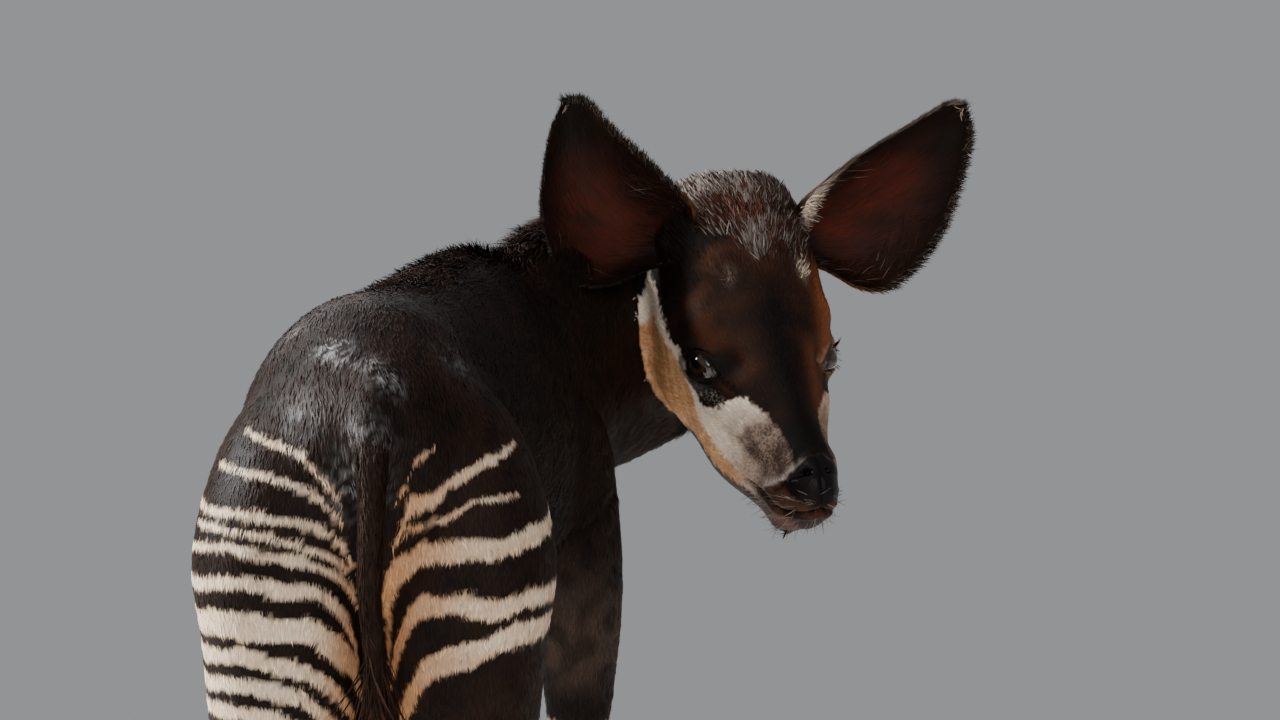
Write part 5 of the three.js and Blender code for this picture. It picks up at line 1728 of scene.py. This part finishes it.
def eye_material():
    """A dark brown iris with radial fibres round a wide level pupil, under a clear wet front."""
    m = Paint("eye", Roughness=0.06, Coat_Weight=1.0, Coat_Roughness=0.02, IOR=1.38)
    lie = m.lie()
    parts = m.node("ShaderNodeSeparateXYZ", {}, {0: lie})
    x = (Wire(m, parts.socket.node.outputs[0]) - 0.5) * EYE_MAP
    y = (Wire(m, parts.socket.node.outputs[1]) - 0.5) * EYE_MAP
    far = (x * x + y * y) ** 0.5
    turn = m.node("ShaderNodeMath", {"operation": "ARCTAN2"}, {0: y, 1: x})
    way = m.node("ShaderNodeCombineXYZ", {}, {0: turn * 9.0, 1: far * 0.35})
    fibre = m.noise(way, 1.6, 4.0)
    iris = m.blend(fibre, shaded(22, 13, 9), shaded(62, 40, 24))
    iris = m.blend(((far - 9.6) * 0.6).clear(), iris, shaded(12, 8, 8))
    pupil = (4.8 - ((x * 0.6) * (x * 0.6) + y * y) ** 0.5).clear()
    colour = m.blend(pupil, iris, shaded(6, 6, 10))
    white = m.blend(fibre, shaded(44, 32, 27), shaded(74, 58, 50))
    return m.to(Base_Color=m.blend(((far - 12.0) * 0.8).clear(), colour, white))


def horn_material():
    """Dark hoof horn with growth rings round it and fine grain down it, paler at the edge."""
    m = Paint("horn", Coat_Weight=0.12, Coat_Roughness=0.3)
    place = m.place()
    height = Wire(m, m.node("ShaderNodeSeparateXYZ", {}, {0: place}).socket.node.outputs[2])
    cloud = m.noise(place, 60.0, 3.0)
    ring = m.node("ShaderNodeMath", {"operation": "SINE"}, {0: height * 1900.0 + cloud * 7.0})
    grain = m.noise(m.stretched(place, 900.0, 900.0, 40.0), 1.0, 2.0)
    tone = (0.35 + ring * 0.12 + grain * 0.5).clear()
    colour = m.blend(tone, shaded(38, 30, 27), shaded(92, 76, 64))
    edge = (1.0 - height * 160.0).clear()
    colour = m.blend(edge * 0.6, colour, shaded(150, 128, 104))
    return m.to(Base_Color=colour, Roughness=(0.38 + 0.25 * grain).clear(),
                Normal=m.bump(ring * 0.4 + grain, 0.4, 0.0006))


def floor_material():
    """Plain pale studio floor."""
    m = Paint("studio", Roughness=0.7)
    place = m.place()
    cloud = m.noise(place, 1.2, 4.0)
    return m.to(Base_Color=m.blend(cloud, shaded(196, 194, 190), shaded(208, 206, 202)),
                Roughness=0.6 + 0.15 * cloud)


# The dressed calf


def skin_map(points, faces, region):
    """Metres across and along the lie of the hair for each corner: arc round a region's path
    and length down it, with each triangle unrolled from its first corner."""
    uv = np.zeros((len(faces), 3, 2))
    of_face = region[faces[:, 0]]
    for k, name in enumerate(REGIONS):
        rows = of_face == k
        t, angle, _, _ = about(PATHS[name], points[faces[rows]].reshape(-1, 3))
        along = length_to(PATHS[name], t) / 1000
        angle = angle.reshape(-1, 3)
        angle = angle[:, :1] + np.mod(angle - angle[:, :1] + math.pi, 2 * math.pi) - math.pi
        radius = {"torso": 0.13, "neck": 0.1, "head": 0.07}.get(name, 0.05)
        uv[rows] = np.stack([angle * radius, along.reshape(-1, 3)], -1)
    return uv.reshape(-1, 2)


def dress():
    """Builds every piece."""
    coat, hide, leaf = coat_material(), skin_material(), ear_material()
    points, faces = skin_mesh()
    region, _ = regions_of(points)
    colour, bare = markings(points, region)
    sheets = []

    def add(points, faces, tint, bare, places, kind=0):
        sheets.append((points, faces, np.column_stack([tint, bare]), places,
                       np.full(len(faces), kind)))

    add(points, faces, colour, bare, skin_map(points, faces, region))
    for side in (1, -1):
        p, f, share = lids(side)
        tint = over(LID_EDGE, face_colours(p)[0], ramp(share, 0.12, 0.5))
        flat = np.stack([np.arange(len(p)) / len(p) * 0.1, share * 0.02], 1)
        add(p, f, tint, 1 - ramp(share, 0.1, 0.26), flat[f.ravel()])
    for name in EARS:
        p, f, s, t = ear_leaf(name)
        half = len(s)
        tint = np.vstack([ear_colours(name, s, t, False, p[:half]),
                          ear_colours(name, s, t, True, p[half:])])
        flat = np.stack([t * 0.07, s * 0.17], 1)
        add(p, f, tint, np.zeros(len(p)), np.vstack([flat, flat])[f.ravel()], 1)
    p, f = PATHS["tail"].tube(28, 8, -1.0)
    add(p, f, np.broadcast_to(DARK, p.shape), np.zeros(len(p)),
        flat_map(PATHS["tail"], p)[f.ravel()] * (0.06, 1))
    _, _, colours, maps, kinds = zip(*sheets)
    skin = piece("Skin", *joined([sheet[:2] for sheet in sheets]), colours=np.vstack(colours),
                 material=hide)
    add_map(skin.data, "Lie", np.vstack(maps))
    skin.data.materials.append(leaf)
    skin.data.polygons.foreach_set("material_index", np.concatenate(kinds).astype(np.int32))
    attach(skin, "root")
    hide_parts("torso", "neck", "head", "ear_right", "ear_left", "tail",
                "hind_thigh_right", "hind_thigh_left", "hind_shank_right", "hind_shank_left",
                "fore_upper_right", "fore_upper_left", "fore_lower_right", "fore_lower_left")
    body_coat(points, faces, coat)
    tail_coat(coat)
    crest(coat)
    for name in EARS:
        ear_coat(name, coat)
    face_hair(points, faces, coat)
    shine, horn = eye_material(), horn_material()
    for word, side in SIDES.items():
        p, f, flat = eyeball(side)
        eye = piece("Eye_" + word, p, f, material=shine)
        add_map(eye.data, "Lie", flat[f.ravel()])
        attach(eye, "root")
        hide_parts("eye_" + word)
        for hind, limb in ((True, "hind"), (False, "fore")):
            hoof = piece("Hoof_%s_%s" % (limb, word), *claws(hind, side), material=horn)
            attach(hoof, "root")
            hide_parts("%s_hoof_%s_outer" % (limb, word), "%s_hoof_%s_inner" % (limb, word))


FLOOR_RINGS = (800.0, 2000.0, 3500.0, 5000.0, 6000.0)
# Lights: name, place, watts and width in metres, all aimed at one place.
LIGHTS = [("Key light", (-3200, 500, 2900), 600, 1.3), ("Fill light", (900, -4200, 2300), 90, 2.6),
          ("Back light", (-900, 3400, 3200), 40, 1.4)]
LIGHTS_AIM = np.array([150, 60, 720.0])
# Camera: film width and lens in millimetres, its place and the way it looks.
CAMERA_FILM, CAMERA_LENS = 36, 222.75
CAMERA_PLACE, CAMERA_WAY = np.array([0, -6200, 1000.0]), (0.033586, 1, -0.034581)


def studio():
    """Pale floor and air, one broad key light, a fill and a back light for the rims."""
    around = 96
    turn = np.linspace(0, 2 * math.pi, around, endpoint=False)
    ring = np.stack([np.cos(turn), np.sin(turn), 0 * turn], 1)
    points = np.vstack([[(0, 0, 0)]] + [ring * r for r in FLOOR_RINGS]) + (0, 0, -0.2)
    k = np.arange(around)
    after = (k + 1) % around
    faces = [np.stack([0 * k, 1 + k, 1 + after], 1)]
    for start in range(1, 1 + around * (len(FLOOR_RINGS) - 1), around):
        a, b = start + k, start + after
        faces.append(halved(a, a + around, b + around, b))
    floor = piece("Floor", points, np.vstack(faces), material=floor_material())
    world = bpy.data.worlds.new("Studio air")
    bpy.context.scene.world = world
    world.use_nodes = True
    back = world.node_tree.nodes["Background"]
    back.inputs["Color"].default_value = shaded(206, 208, 212)
    back.inputs["Strength"].default_value = 0.5
    for name, place, energy, size in LIGHTS:
        data = bpy.data.lights.new(name, "AREA")
        data.energy, data.size = energy, size
        light = bpy.data.objects.new(name, data)
        bpy.context.scene.collection.objects.link(light)
        look_along(light, np.array(place, float), LIGHTS_AIM - place)


def look_along(thing, place, way):
    """Sets a camera or light at a working place, looking along a direction with up kept up."""
    look = unit(np.asarray(way, float))
    side = unit(np.cross(look, UP))
    turn = np.eye(4)
    turn[:3, :3] = np.stack([side, np.cross(side, look), -look], 1)
    turn[:3, 3] = placed(place)
    thing.matrix_world = Matrix(turn.tolist())


def main_camera():
    """The photo's view: level with the rump, from behind, through a long lens."""
    data = bpy.data.cameras.new("Camera")
    data.sensor_width, data.lens = CAMERA_FILM, CAMERA_LENS
    data.clip_end = 60
    camera = bpy.data.objects.new("Camera", data)
    bpy.context.scene.collection.objects.link(camera)
    look_along(camera, CAMERA_PLACE, CAMERA_WAY)
    bpy.context.scene.camera = camera


dress()
studio()
main_camera()
